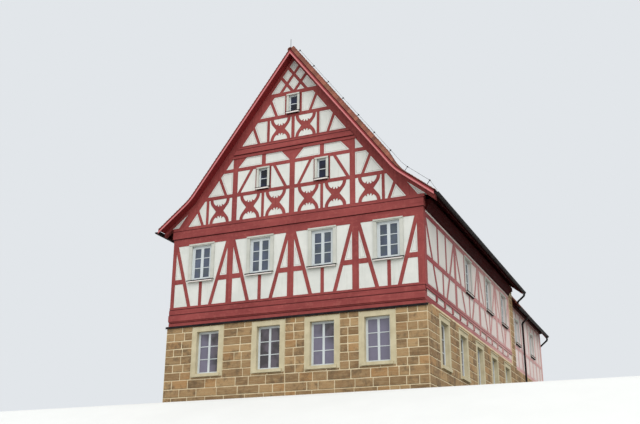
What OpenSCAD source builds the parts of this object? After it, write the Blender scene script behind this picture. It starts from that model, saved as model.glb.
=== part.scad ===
// Half timbered house with a sandstone ground storey, a jettied timber storey,
// a steep roof with flared eaves over two attics, and a lower wing behind.
// +X is to the right of the front gable, +Y runs from the gable to the wing, +Z is up.
// The origin is on the ground at the middle of the whole plan. Millimetres.

/* [Main house] */
// Width of the timber frame across the gable
house_w = 11000; // [9500:100:13000]
// Bay lengths along the side, front to back
side_bays = [4250, 3950, 3380, 3020];
// Thickness of the stone fire wall at the rear
fire_wall_t = 800; // [500:50:1000]
// Thickness of the other stone walls
stone_t = 650; // [450:50:800]
// How far the stone stands proud of the timber
stone_proud = 40; // [0:5:80]

/* [Levels] */
// Top of the stone walls
stone_top = 3200; // [2800:50:3800]
// Height of the jetty beams, from the stone to the foot of the timber storey
jetty_h = 800; // [600:20:1000]
// Clear height of the timber storey
storey_h = 2620; // [2300:20:3000]
// Height of the lower tie beam over the timber storey
tie_h = 340; // [240:10:400]
// Height of the upper tie beam
tie_top_h = 350; // [240:10:400]
// Height of the thin sill of the gable
gable_sill_h = 140; // [100:10:200]
// Height of the first attic, from the sill to the moulded beam
attic_h = 2770; // [2400:10:3000]
// Height of the moulded beam between the attics
attic_beam_h = 530; // [400:10:600]
// Height of the second attic, from the moulded beam to the collar
top_h = 2020; // [1800:10:2300]
// Height of the collar beam
collar_h = 180; // [140:10:240]

/* [Roof] */
// Rise of the roof for each unit of run
pitch = 1.345; // [1.2:0.005:1.45]
// Rise of the flared eaves for each unit of run
flare_pitch = 0.8; // [0.6:0.01:0.9]
// Height of the roof underside above the thin sill at the ridge
ridge_rise = 7150; // [6800:10:7400]
// Run of the flare beyond the wall
eaves_out = 560; // [450:10:700]
// Thickness of battens and tiles
roof_t = 90; // [60:5:140]
// Overhang of the verge in front of the gable
verge_out = 400; // [250:10:500]
// Radius of the bend into the flare
flare_r = 2500; // [1000:100:4000]
// Radius of the gutters
gutter_r = 85; // [60:5:100]

/* [Timbers] */
// Depth of the timber walls
wall_t = 180; // [140:10:240]
// How far the plaster lies behind the timber face
recess = 12; // [0:2:30]
// Width of the corner posts
corner_w = 270; // [200:10:320]
// Width of the left corner post where it shows on the front
left_corner_w = 170; // [140:10:320]
// Width of the main posts
post_w = 270; // [200:10:320]
// Width of rails and braces
bar_w = 150; // [110:5:200]
// Width of the short posts
short_w = 140; // [100:5:180]
// Width of the gable rafters
rafter_w = 374; // [300:2:420]
// Width of the bars of the apex lattice
lattice_w = 130; // [70:5:160]
// Depth of the sprockets under the flare
sprocket_h = 134; // [100:2:180]

/* [Windows] */
// Width of an upper window opening
upper_win_w = 920; // [800:20:1100]
// Height of an upper window opening
upper_win_h = 1470; // [1200:10:1500]
// Height of an upper window sill above the storey foot
upper_sill_h = 1070; // [900:10:1120]
// Width of the casing boards round an upper window
casing_w = 140; // [100:10:180]
// Width of an attic window opening
attic_win_w = 400; // [300:10:500]
// Height of an attic window opening
attic_win_h = 850; // [700:10:880]
// Width of the casing boards round an attic window
attic_casing_w = 100; // [60:5:120]
// Width of a ground storey window opening
ground_win_w = 1000; // [800:20:1100]
// Height of a ground storey window opening
ground_win_h = 1690; // [1400:10:1800]
// Height of a ground storey window sill
ground_sill_z = 1200; // [1000:10:1400]
// Width of the stone surround of a ground storey window
surround_w = 220; // [160:10:300]

/* [Wing] */
// Length of the wing
wing_l = 8000; // [6000:100:9000]
// Number of bays along the wing
wing_bays = 4; // [3:1:5]
// Height of the wing's timber walls, from the stone to the eaves plate
wing_wall_h = 3520; // [3000:20:3700]
// Overhang of the wing eaves
wing_eaves_out = 300; // [200:10:450]

/* [Hidden] */

timber_col = [0.60, 0.25, 0.25];
plaster_col = [0.90, 0.89, 0.86];
stone_col = [0.66, 0.55, 0.38];
trim_col = [0.84, 0.80, 0.70];
window_col = [0.86, 0.87, 0.86];
glass_col = [0.35, 0.42, 0.50];
tile_col = [0.52, 0.30, 0.22];
metal_col = [0.12, 0.12, 0.13];
floor_col = [0.50, 0.42, 0.34];

half_w = house_w / 2;
stone_x = half_w + stone_proud;
front_face = -stone_proud;

function sum(v, n) = n <= 0 ? 0 : v[n - 1] + sum(v, n - 1);
// Heights at which stacked bands begin and end, each band being [height, projection]
function levels(bands) = [for (i = [0:len(bands)]) sum([for (b = bands) b[0]], i)];
frame_l = sum(side_bays, len(side_bays));
main_l = frame_l + fire_wall_t;
wing_end = main_l + wing_l;

// Levels of the timber work
storey_z = stone_top + jetty_h;
tie_z = storey_z + storey_h;
tie_top_z = tie_z + tie_h;
sill_z = tie_top_z + tie_top_h;
attic_z = sill_z + gable_sill_h;
attic_beam_z = attic_z + attic_h;
top_z = attic_beam_z + attic_beam_h;
collar_z = top_z + top_h;
apex_z = collar_z + collar_h;

// Roof underside: a straight slope from the ridge, and a flatter flare to the eaves
// The ridge height is given for this width, and that of another width follows the same slope
drawn_w = 11000;
ridge_z = attic_z + ridge_rise + pitch * (house_w - drawn_w) / 2;
eaves_x = half_w + eaves_out;
kink_x = half_w - 942;
kink_z = ridge_z - pitch * kink_x;
function under_z(x) = x < kink_x ? ridge_z - pitch * x : kink_z - flare_pitch * (x - kink_x);
function slope_x(z) = (ridge_z - z) / pitch;
slope_a = atan(pitch);
flare_a = atan(flare_pitch);
eaves_z = under_z(eaves_x);
rafter_run = rafter_w / sin(slope_a);

// Timber outline of the gable, inside the rafters
function inner_x(z) = slope_x(z) - rafter_run;

rear_over = verge_out;
plan_front = -verge_out - 45;
plan_rear = wing_end + verge_out + 45;
y_shift = -(plan_front + plan_rear) / 2;

quarter = house_w / 4;
main_posts = [-quarter, 0, quarter];
attic_posts = [-quarter + 100, 0, quarter - 100];
bay_mid = [for (s = [-1.5, -0.5, 0.5, 1.5]) s * (quarter - 20)];
ground_win_x = [-3590, -880, 1390, 3600];
ground_win_first = 2100;
ground_win_pitch = 2750;
ground_win_y = [for (i = [0:4]) ground_win_first + i * ground_win_pitch];
side_win_bay = [1, 2, 3];
side_win_shift = 190;
door_y = ground_win_y[2];
door_w = 1200;
door_h = 2300;
floor_t = 250;
// Grooves between the moulded bands of the beams
groove_h = 24;
groove_in = 30;

// Moves a shape from the house's own corner to the middle of the plan
module placed() { translate([0, y_shift, 0]) children(); }
// Raises an outline drawn in x and z, so that it fills y0 to y0 + depth
module upright(y0, depth) {
    translate([0, y0 + depth, 0]) rotate([90, 0, 0]) linear_extrude(depth) children();
}
// Raises an outline drawn in y and z, so that it fills x0 to x0 + depth
module sideways(x0, depth) { translate([x0, 0, 0]) rotate([90, 0, 90]) linear_extrude(depth) children(); }
module mirrored_x() {
    children();
    mirror([1, 0, 0]) children();
}
module box2(x0, x1, z0, z1) { translate([x0, z0]) square([x1 - x0, z1 - z0]); }
// Keeps only what lies between two heights
module zone2(z0, z1) {
    intersection() {
        box2(-house_w, house_w, z0, z1);
        children();
    }
}
module post2(x, w, z0, z1) { box2(x - w / 2, x + w / 2, z0, z1); }
// Straight bar between two points, run past both ends
module bar2(p, q, w, past = 200) {
    d = q - p;
    translate(p) rotate(atan2(d[1], d[0])) translate([-past, -w / 2]) square([norm(d) + 2 * past, w]);
}

// Curved cross with three barbs above and three below, in a field w wide between z0 and z1
cross_in = 320;
cross_out = 460;
barb_h = 90;
barb_w = 84;
barb_a = 25;
module cup2(h) {
    difference() {
        union() {
            circle(cross_out, $fn = 96);
            waist = 52;
            px = cross_out * sin(waist);
            pz = cross_out * cos(waist);
            reach = (h - pz) / sin(waist);
            wx = px - reach * cos(waist);
            polygon([[-px, -pz], [-wx, -h], [wx, -h], [px, -pz]]);
        }
        circle(cross_in, $fn = 96);
        translate([-cross_out - 1, 0]) square([2 * cross_out + 2, cross_out + 1]);
        translate([-cross_out - 1, -cross_out - h]) square([2 * cross_out + 2, cross_out]);
    }
    for (a = [-barb_a, 0, barb_a]) rotate(a)
        polygon([[-barb_w / 2, -cross_in - 12], [barb_w / 2, -cross_in - 12], [0, barb_h - cross_in]]);
}
module cross2(x, z0, z1) {
    h = (z1 - z0) / 2;
    translate([x, z1]) cup2(h);
    translate([x, z0]) mirror([0, 1]) cup2(h);
}

// Stone walls

module stone_hole(w, h, z, deep) {
    translate([-w / 2, -1, z]) cube([w, deep, h]);
}
surround_deep = 260;
surround_sill_h = 120;
lintel_h = 190;
inner_splay = 80;
// Hole for a window with its surround, cut from the face at y = 0 inwards
module window_hole(w, h, z) {
    stone_hole(w + 2 * surround_w, surround_sill_h + h + lintel_h, z - surround_sill_h, surround_deep + 1);
    stone_hole(w + 2 * inner_splay, h, z, stone_t + 2);
}
module ground_window_holes(places) {
    for (p = places) translate([p, 0, 0]) window_hole(ground_win_w, ground_win_h, ground_sill_z);
}
// A wall in its own frame: x along it, its outer face at y = 0
module stone_wall(len, top, places) {
    difference() {
        cube([len, stone_t, top]);
        ground_window_holes(places);
    }
}
module front_stone_wall() {
    color(stone_col) placed() translate([-stone_x, front_face, 0])
        stone_wall(2 * stone_x, stone_top, [for (x = ground_win_x) x + stone_x]);
}
side_top = stone_top + 100;
side_l = frame_l - stone_t + stone_proud;
// Side wall between the front and rear walls; its x runs along +Y
module side_wall_at() {
    translate([stone_x, stone_t - stone_proud, 0]) rotate([0, 0, 90]) children();
}
module right_stone_wall() {
    color(stone_col) placed() side_wall_at()
        stone_wall(side_l, side_top, [for (y = ground_win_y) y - stone_t + stone_proud]);
}
left_win_y = [for (i = [0, 1, 3, 4]) ground_win_y[i]];
module left_stone_wall() {
    color(stone_col) placed() mirror([1, 0, 0]) side_wall_at() difference() {
        stone_wall(side_l, side_top, [for (y = left_win_y) y - stone_t + stone_proud]);
        translate([door_y - stone_t + stone_proud, 0, 0]) {
            stone_hole(door_w + 2 * surround_w, door_h + lintel_h, floor_t, surround_deep + 1);
            stone_hole(door_w + 2 * inner_splay, door_h, floor_t, stone_t + 2);
        }
    }
}
module rear_stone_wall() {
    color(stone_col) placed() upright(frame_l, fire_wall_t)
        polygon([[-stone_x, 0], [stone_x, 0], [stone_x, under_z(stone_x)], [kink_x, kink_z],
            [0, ridge_z], [-kink_x, kink_z], [-stone_x, under_z(stone_x)]]);
}
module ground_floor() {
    color(floor_col) placed() translate([stone_t - stone_x, stone_t - stone_proud, 0])
        cube([2 * (stone_x - stone_t), side_l, floor_t]);
}

// Surrounds, windows and glass, each in a frame with x along the wall and the wall face at y = 0

surround_proud = 20;
stone_sill_out = 70;
drip_h = 45;
drip_out = 50;
module surround(w, h, z) {
    outer_w = w + 2 * surround_w;
    difference() {
        union() {
            translate([-outer_w / 2, -surround_proud, z - surround_sill_h])
                cube([outer_w, surround_deep + surround_proud, surround_sill_h + h + lintel_h]);
            translate([-w / 2 - surround_w / 2, -surround_proud - stone_sill_out, z - surround_sill_h])
                cube([w + surround_w, stone_sill_out, surround_sill_h]);
        }
        translate([-w / 2, -surround_proud - 1, z]) cube([w, surround_deep + surround_proud + 2, h]);
    }
}
// Drip moulding over the lintel, on the long sides only
module drip(w, h, z) {
    translate([-w / 2 - surround_w, -drip_out, z + h + lintel_h])
        cube([w + 2 * surround_w, drip_out, drip_h]);
}
module door_surround(w, h, z) {
    difference() {
        translate([-w / 2 - surround_w, -surround_proud, z])
            cube([w + 2 * surround_w, surround_deep + surround_proud, h + lintel_h]);
        translate([-w / 2, -surround_proud - 1, z - 1]) cube([w, surround_deep + surround_proud + 2, h + 1]);
    }
}
module each_side_ground_window() {
    for (y = ground_win_y) translate([stone_x, y, 0]) rotate([0, 0, 90]) children();
    for (y = left_win_y) translate([-stone_x, y, 0]) rotate([0, 0, -90]) children();
}
module each_ground_window() {
    for (x = ground_win_x) translate([x, front_face, 0]) children();
    each_side_ground_window() children();
}
module at_door() { translate([-stone_x, door_y, 0]) rotate([0, 0, -90]) children(); }
module stone_surrounds() {
    color(trim_col) placed() {
        each_ground_window() surround(ground_win_w, ground_win_h, ground_sill_z);
        each_side_ground_window() drip(ground_win_w, ground_win_h, ground_sill_z);
        at_door() {
            door_surround(door_w, door_h, floor_t);
            drip(door_w, door_h, floor_t);
        }
    }
}

sash_deep = 60;
leaf_in = 8;
leaf_deep = 44;
glass_t = 8;
// Widths of the fixed frame and of a leaf's own bars, by the kind of window
ground_bars = [36, 46];
upper_bars = [50, 64];
attic_bars_w = [24, 30];
// Ring of bars w by h outside, its lower left corner at the origin
module ring(w, h, bar, deep) {
    difference() {
        cube([w, deep, h]);
        translate([bar, -1, bar]) cube([w - 2 * bar, deep + 2, h - 2 * bar]);
    }
}
module sashes(w, h, z, leaves, y, bars) {
    leaf_w = (w - 2 * bars[0]) / leaves;
    translate([-w / 2, y, z]) {
        ring(w, h, bars[0], sash_deep);
        for (i = [0:leaves - 1]) translate([bars[0] + i * leaf_w, leaf_in, bars[0]])
            ring(leaf_w, h - 2 * bars[0], bars[1], leaf_deep);
    }
}
module panes(w, h, z, leaves, y, bars) {
    leaf_w = (w - 2 * bars[0]) / leaves;
    edge = bars[0] + bars[1];
    for (i = [0:leaves - 1])
        translate([-w / 2 + edge + i * leaf_w, y + leaf_in + (leaf_deep - glass_t) / 2, z + edge])
            cube([leaf_w - 2 * bars[1], glass_t, h - 2 * edge]);
}
ground_sash_y = 150;
module ground_windows() {
    color(window_col) placed() each_ground_window()
        sashes(ground_win_w, ground_win_h, ground_sill_z, 2, ground_sash_y, ground_bars);
}
module entrance_door() {
    color(timber_col) placed() at_door()
        translate([-door_w / 2, ground_sash_y, floor_t]) cube([door_w, 60, door_h]);
}

// Jetty: moulded beams over the front wall, plates, beam heads and sills along the sides

plate_h = 130;
plate_out = 50;
fascia_out = 105;
mid_h = 200;
mid_out = 65;
sill_h = 100;
sill_out = 25;
cove_r = 50;
fascia_h = jetty_h - plate_h - mid_h - sill_h - 3 * groove_h;
jetty_bands = [[plate_h, plate_out], [groove_h, plate_out - groove_in], [fascia_h, fascia_out],
    [groove_h, mid_out - groove_in], [mid_h, mid_out], [groove_h, sill_out - groove_in], [sill_h, sill_out]];
plate_in = 20;
low_bands = 4;
// Bands a to b of the jetty, drawn in y and z
module jetty_bands2(a, b) {
    z = levels(jetty_bands);
    for (i = [a:b]) box2(-wall_t, jetty_bands[i][1], stone_top + z[i], stone_top + z[i + 1]);
}
// The sill and its groove run to the corners, all beams below end a little inside them
module front_jetty_beams() {
    low_l = house_w - 2 * plate_in;
    color(timber_col) placed() rotate([90, 0, -90]) {
        translate([0, 0, -low_l / 2]) linear_extrude(low_l) difference() {
            union() {
                box2(-stone_t + stone_proud, 0, stone_top, stone_top + plate_h);
                jetty_bands2(0, low_bands);
            }
            translate([fascia_out, stone_top + levels(jetty_bands)[2]]) circle(cove_r, $fn = 48);
        }
        translate([0, 0, -half_w]) linear_extrude(house_w)
            jetty_bands2(low_bands + 1, len(jetty_bands) - 1);
    }
}
side_plate_h = 230;
side_sill_h = 230;
side_sill_low = 110;
side_bands = [[side_sill_low, 30], [groove_h, 0], [side_sill_h - side_sill_low - groove_h, 12]];
head_first = 1340;
head_pitch = 1120;
head_w = 200;
head_out = 20;
head_r = 70;
head_z = side_top + side_plate_h;
side_sill_z = storey_z - side_sill_h;
head_y = [for (y = [head_first:head_pitch:frame_l - head_w]) y];
// Beam head with its lower outer edge rounded, drawn in x and z
module beam_head2() {
    x = half_w + head_out;
    box2(half_w - wall_t, x, head_z + head_r, side_sill_z);
    box2(half_w - wall_t, x - head_r, head_z, side_sill_z);
    translate([x - head_r, head_z + head_r]) circle(head_r, $fn = 48);
}
module side_beam() {
    translate([half_w + stone_proud - stone_t, stone_t - stone_proud, side_top])
        cube([stone_t - stone_proud - plate_in, side_l, side_plate_h]);
    translate([half_w - wall_t, wall_t, stone_top + plate_h])
        cube([wall_t - plate_in, stone_t - stone_proud - wall_t, head_z - stone_top - plate_h]);
    for (y = head_y) upright(y - head_w / 2, head_w) beam_head2();
    translate([half_w - wall_t, wall_t, side_sill_z]) cube([wall_t, frame_l - wall_t, side_sill_h]);
    z = levels(side_bands);
    for (i = [0, 2]) translate([half_w, 0, side_sill_z + z[i]])
        cube([side_bands[i][1], frame_l, side_bands[i][0]]);
}
module side_jetty_beams() { color(timber_col) placed() mirrored_x() side_beam(); }
module upper_floor() {
    color(floor_col) placed() translate([-half_w + wall_t, wall_t, head_z])
        cube([house_w - 2 * wall_t, frame_l - wall_t, side_sill_z - head_z]);
}

// Front of the timber storey

rail_z = storey_z + 980;
rail_h = 200;
brace_foot = 730;
// Short rails end on the middle line of the brace at this height over the storey foot
rail_meet_h = 1310;
rail_reach = brace_foot * (storey_h - rail_meet_h) / storey_h;
module front_bars() {
    box2(half_w - corner_w, half_w, storey_z, tie_z);
    box2(-half_w, left_corner_w - half_w, storey_z, tie_z);
    for (x = main_posts) post2(x, post_w, storey_z, tie_z);
    for (x = bay_mid) post2(x, short_w, storey_z, storey_z + upper_sill_h - 80);
    for (x = [left_corner_w - half_w, each [for (p = main_posts) p + post_w / 2]]) {
        bar2([x, tie_z], [x + brace_foot, storey_z], bar_w);
        box2(x, x + rail_reach, rail_z, rail_z + rail_h);
    }
    for (x = [half_w - corner_w, each [for (p = main_posts) p - post_w / 2]]) {
        bar2([x, tie_z], [x - brace_foot, storey_z], bar_w);
        box2(x - rail_reach, x, rail_z, rail_z + rail_h);
    }
}
module front_frame_2d() {
    intersection() {
        box2(-half_w, half_w, storey_z, tie_z);
        front_bars();
    }
}
module upper_openings_2d(places) {
    for (x = places) post2(x, upper_win_w, storey_z + upper_sill_h, storey_z + upper_sill_h + upper_win_h);
}
module front_frame() { color(timber_col) placed() upright(0, wall_t) front_frame_2d(); }
module front_infill() {
    color(plaster_col) placed() upright(recess, wall_t - 2 * recess) difference() {
        box2(-half_w + 1, half_w - 1, storey_z, tie_z);
        front_bars();
        upper_openings_2d(bay_mid);
    }
}

// Sides of the timber storey, drawn along y

mid_rail_z = storey_z + 930;
side_post_y = [for (i = [1:len(side_bays) - 1]) sum(side_bays, i)];
plate_z = tie_z;
head_top_z = tie_top_z;
side_brace = 1280;
brace_top_in = 40;
side_end_w = 120;
side_top_rail_h = 180;
low_post_shift = 180;
first_bay_posts = [0.42, 0.69];
win_post_w = 80;
win_post_gap = 10;
function side_win_y(b) = (sum(side_bays, b) + sum(side_bays, b + 1)) / 2 + side_win_shift;
side_wins = [for (b = side_win_bay) side_win_y(b)];
module side_bars() {
    box2(wall_t, corner_w, storey_z, head_top_z);
    for (y = side_post_y) post2(y, post_w, storey_z, head_top_z);
    post2(frame_l - side_end_w / 2, side_end_w, storey_z, head_top_z);
    box2(wall_t, frame_l, mid_rail_z, mid_rail_z + rail_h);
    box2(wall_t, frame_l, plate_z, plate_z + side_top_rail_h);
    for (i = [0:len(side_bays) - 1]) {
        a = i == 0 ? corner_w : sum(side_bays, i) + post_w / 2;
        b = i == len(side_bays) - 1 ? frame_l - side_end_w : sum(side_bays, i + 1) - post_w / 2;
        intersection() {
            box2(a, b, storey_z, plate_z);
            union() {
                bar2([a - brace_top_in, plate_z], [a + side_brace, storey_z], bar_w);
                bar2([b + brace_top_in, plate_z], [b - side_brace, storey_z], bar_w);
            }
        }
        post2((a + b) / 2 + low_post_shift, short_w, storey_z, mid_rail_z);
    }
    for (f = first_bay_posts) post2(side_bays[0] * f, short_w, mid_rail_z, plate_z);
    for (y = side_wins) for (s = [-1, 1])
        post2(y + s * (upper_win_w / 2 + casing_w + win_post_gap + win_post_w / 2), win_post_w, mid_rail_z,
            plate_z);
}
module side_openings() { upper_openings_2d(side_wins); }
module side_frame_2d() {
    difference() {
        intersection() {
            box2(wall_t, frame_l, storey_z, head_top_z);
            side_bars();
        }
        side_openings();
    }
}
module side_infill_2d() {
    difference() {
        union() {
            box2(wall_t, frame_l, storey_z, head_top_z);
            box2(wall_t, frame_l, head_z, side_sill_z);
        }
        side_bars();
        side_openings();
        for (y = head_y) post2(y, head_w, head_z, side_sill_z);
        box2(0, frame_l, side_sill_z, storey_z);
    }
}
module side_frame() { sideways(half_w - wall_t, wall_t) side_frame_2d(); }
module side_infill() { sideways(half_w - wall_t + recess, wall_t - 2 * recess) side_infill_2d(); }
module right_frame() { color(timber_col) placed() side_frame(); }
module right_infill() { color(plaster_col) placed() side_infill(); }
module left_frame() { color(timber_col) placed() mirror([1, 0, 0]) side_frame(); }
module left_infill() { color(plaster_col) placed() mirror([1, 0, 0]) side_infill(); }

// Casings with hood and sill, and the window frames in them

sill_board_h = 80;
sill_board_out = 60;
sill_board_r = 45;
hood_h = 60;
hood_out = 28;
head_board_h = 100;
casing_out = 45;
side_casing_out = 15;
// Sill board with its lower corners rounded, drawn in x and z
module sill_board2(w, z) {
    r = sill_board_r;
    box2(-w / 2, w / 2, z - sill_board_h + r, z);
    box2(-w / 2 + r, w / 2 - r, z - sill_board_h, z);
    for (s = [-1, 1]) translate([s * (w / 2 - r), z - sill_board_h + r]) circle(r, $fn = 32);
}
// Boards round an opening, out in front of the wall face at y = 0, with a sill board and a hood
module casing(w, h, z, cw, out, head_h) {
    outer_w = w + 2 * cw;
    difference() {
        union() {
            upright(-out, out) box2(-outer_w / 2, outer_w / 2, z - sill_board_h, z + h + head_h);
            upright(-out - sill_board_out, sill_board_out) sill_board2(outer_w, z);
            upright(-out - hood_out, hood_out)
                box2(-outer_w / 2, outer_w / 2, z + h + head_h - hood_h, z + h + head_h);
        }
        upright(-out - sill_board_out - 1, out + sill_board_out + 2) box2(-w / 2, w / 2, z, z + h);
    }
}
upper_z = storey_z + upper_sill_h;
upper_sash_y = 40;
side_sash_y = 105;
module each_front_window() { for (x = bay_mid) translate([x, 0, 0]) children(); }
module each_side_window() {
    for (y = side_wins) {
        translate([half_w, y, 0]) rotate([0, 0, 90]) children();
        translate([-half_w, y, 0]) rotate([0, 0, -90]) children();
    }
}
module upper_windows() {
    color(window_col) placed() {
        each_front_window() {
            casing(upper_win_w, upper_win_h, upper_z, casing_w, casing_out, head_board_h);
            sashes(upper_win_w, upper_win_h, upper_z, 2, upper_sash_y, upper_bars);
        }
        each_side_window() {
            casing(upper_win_w, upper_win_h, upper_z, casing_w, side_casing_out, head_board_h);
            sashes(upper_win_w, upper_win_h, upper_z, 2, side_sash_y, upper_bars);
        }
    }
}

// Tie beams over the front, under the gable

tie_out = 45;
thin_out = 22;
tie_end = 40;
thin_end = 60;
module tie_beams() {
    color(timber_col) placed() {
        translate([-half_w, 0, tie_z]) cube([house_w, wall_t, tie_h - groove_h]);
        translate([-half_w, groove_in, tie_top_z - groove_h]) cube([house_w, wall_t - groove_in, groove_h]);
        translate([-half_w - tie_end, -tie_out, tie_top_z])
            cube([house_w + 2 * tie_end, wall_t + tie_out, tie_top_h - groove_h]);
        translate([-half_w, 0, sill_z - groove_h]) cube([house_w, wall_t, groove_h]);
        translate([-half_w - thin_end, -thin_out, sill_z])
            cube([house_w + 2 * thin_end, wall_t + thin_out, gable_sill_h]);
    }
}
module attic_floor() {
    color(floor_col) placed() translate([-half_w, wall_t, tie_top_z])
        cube([house_w, frame_l - wall_t, tie_top_h]);
}

// First attic of the gable

attic_rails = [attic_z + 1050, attic_z + 2180];
attic_rail_h = 155;
attic_post_w = 230;
attic_mid_x = (quarter - 100) / 2;
strut_w = 120;
attic_win_post_w = 60;
attic_win_post_x = attic_win_w / 2 + attic_casing_w + attic_win_post_w / 2;
outer_cross_x = 3350;
outer_cross_half = 520;
outer_strut = [[4550, 4150]];
mid_struts = [[3480, 3080], [1880, 2450], [820, 300]];
bracket_h = 390;
module between_rafters(z0, z1, past = 0) {
    polygon([[-inner_x(z0) - past, z0], [inner_x(z0) + past, z0], [inner_x(z1) + past, z1],
        [-inner_x(z1) - past, z1]]);
}
// Struts on both sides of the middle, each from its top x at z1 to its foot x at z0
module struts2(places, z0, z1, w) {
    zone2(z0, z1) for (p = places) for (s = [-1, 1]) bar2([s * p[0], z1], [s * p[1], z0], w);
}
module attic_crosses() {
    for (f = [-1.45, -0.55, 0.55, 1.45]) cross2(attic_mid_x * f, attic_z, attic_rails[0]);
    for (s = [-1, 1]) cross2(s * outer_cross_x, attic_z, attic_rails[0]);
}
attic_win_x = [-attic_mid_x, attic_mid_x];
attic_win_z = attic_rails[0] + attic_rail_h + 70;
module attic_bars() {
    low_top = attic_rails[0] + attic_rail_h;
    high_top = attic_rails[1] + attic_rail_h;
    for (x = attic_posts) post2(x, attic_post_w, attic_z, attic_beam_z);
    for (z = attic_rails) box2(-inner_x(z), inner_x(z), z, z + attic_rail_h);
    for (s = [-1, 1]) {
        post2(s * (outer_cross_x + outer_cross_half + strut_w / 2), strut_w, attic_z, attic_rails[0]);
        post2(s * attic_mid_x, strut_w, attic_z, attic_rails[0]);
        post2(s * attic_mid_x, 1.5 * strut_w, attic_rails[1], attic_beam_z);
        for (t = [-1, 1])
            post2(s * attic_mid_x + t * attic_win_post_x, attic_win_post_w, low_top, attic_rails[1]);
        for (p = [0, s * (quarter - 100)]) for (t = [-1, 1]) if (p == 0 ? t == s : t == -s)
            polygon([[p + t * attic_post_w / 2, high_top], [p + t * attic_post_w / 2, attic_beam_z],
                [p + t * (attic_post_w / 2 + bracket_h), attic_beam_z]]);
    }
    struts2(outer_strut, attic_z, attic_rails[0], strut_w);
    struts2(mid_struts, low_top, attic_rails[1], strut_w);
    attic_crosses();
}
module attic_openings() {
    for (x = attic_win_x) post2(x, attic_win_w, attic_win_z, attic_win_z + attic_win_h);
}
module attic_frame() {
    color(timber_col) placed() upright(0, wall_t) difference() {
        intersection() {
            between_rafters(attic_z, attic_beam_z);
            attic_bars();
        }
        attic_openings();
    }
}
// Small plaster triangle between a rafter foot and the sprocket
module foot_triangle() {
    low = sprocket_h / cos(flare_a);
    z1 = attic_z;
    x1 = slope_x(z1);
    x2 = kink_x + (kink_z - low - z1) / flare_pitch;
    x3 = (ridge_z - kink_z + low - flare_pitch * kink_x) / (pitch - flare_pitch);
    polygon([[x1, z1], [x2, z1], [x3, ridge_z - pitch * x3]]);
}
module attic_infill() {
    color(plaster_col) placed() upright(recess, wall_t - 2 * recess) {
        difference() {
            between_rafters(attic_z, attic_beam_z);
            attic_bars();
            attic_openings();
        }
        foot_triangle();
        mirror([1, 0]) foot_triangle();
    }
}
attic_foot_h = 115;
attic_head_h = 100;
attic_cap_h = 60;
attic_beam_past = 60;
attic_bands = [[attic_foot_h, 40], [groove_h, 10],
    [attic_beam_h - attic_foot_h - attic_head_h - attic_cap_h - 2 * groove_h, 85],
    [groove_h, 28], [attic_head_h, 60], [attic_cap_h, 20]];
module attic_beam() {
    z = levels(attic_bands);
    color(timber_col) placed() {
        upright(0, wall_t) between_rafters(attic_beam_z, top_z);
        for (i = [0:len(attic_bands) - 1]) upright(-attic_bands[i][1], attic_bands[i][1])
            between_rafters(attic_beam_z + z[i], attic_beam_z + z[i + 1], attic_beam_past);
    }
}
top_slab_t = 250;
module top_floor() {
    x = slope_x(attic_beam_z) - 40;
    color(floor_col) placed() translate([0, wall_t, attic_beam_z]) {
        upright(0, frame_l - wall_t) polygon([[-x, 0], [x, 0],
            [x - top_slab_t / pitch, top_slab_t], [-x + top_slab_t / pitch, top_slab_t]]);
    }
}

// Second attic of the gable

top_rail_z = top_z + 980;
top_rail_h = 160;
top_win_z = top_rail_z + top_rail_h + 55;
top_win_h = 780;
top_win_post_w = 90;
top_cross_x = 580;
top_cross_half = 505;
top_outer_strut = [[1930, 1580]];
top_inner_strut = [[1120, 780]];
module top_bars() {
    post2(0, 1.2 * strut_w, top_z, top_rail_z);
    box2(-inner_x(top_rail_z), inner_x(top_rail_z), top_rail_z, top_rail_z + top_rail_h);
    for (s = [-1, 1]) {
        post2(s * (top_cross_x + top_cross_half + strut_w / 2), strut_w, top_z, top_rail_z);
        cross2(s * top_cross_x, top_z, top_rail_z);
        post2(s * (attic_win_w / 2 + attic_casing_w + top_win_post_w / 2), top_win_post_w, top_rail_z,
            collar_z);
    }
    struts2(top_outer_strut, top_z, top_rail_z, strut_w);
    struts2(top_inner_strut, top_rail_z + top_rail_h, collar_z, strut_w);
}
module top_openings() { post2(0, attic_win_w, top_win_z, top_win_z + top_win_h); }
module top_frame() {
    color(timber_col) placed() upright(0, wall_t) {
        difference() {
            intersection() {
                between_rafters(top_z, collar_z);
                top_bars();
            }
            top_openings();
        }
        between_rafters(collar_z, apex_z);
    }
}
module top_infill() {
    color(plaster_col) placed() upright(recess, wall_t - 2 * recess) difference() {
        between_rafters(top_z, collar_z);
        top_bars();
        top_openings();
    }
}

// Diamond lattice of the apex, its bars parallel to the rafters

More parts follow.
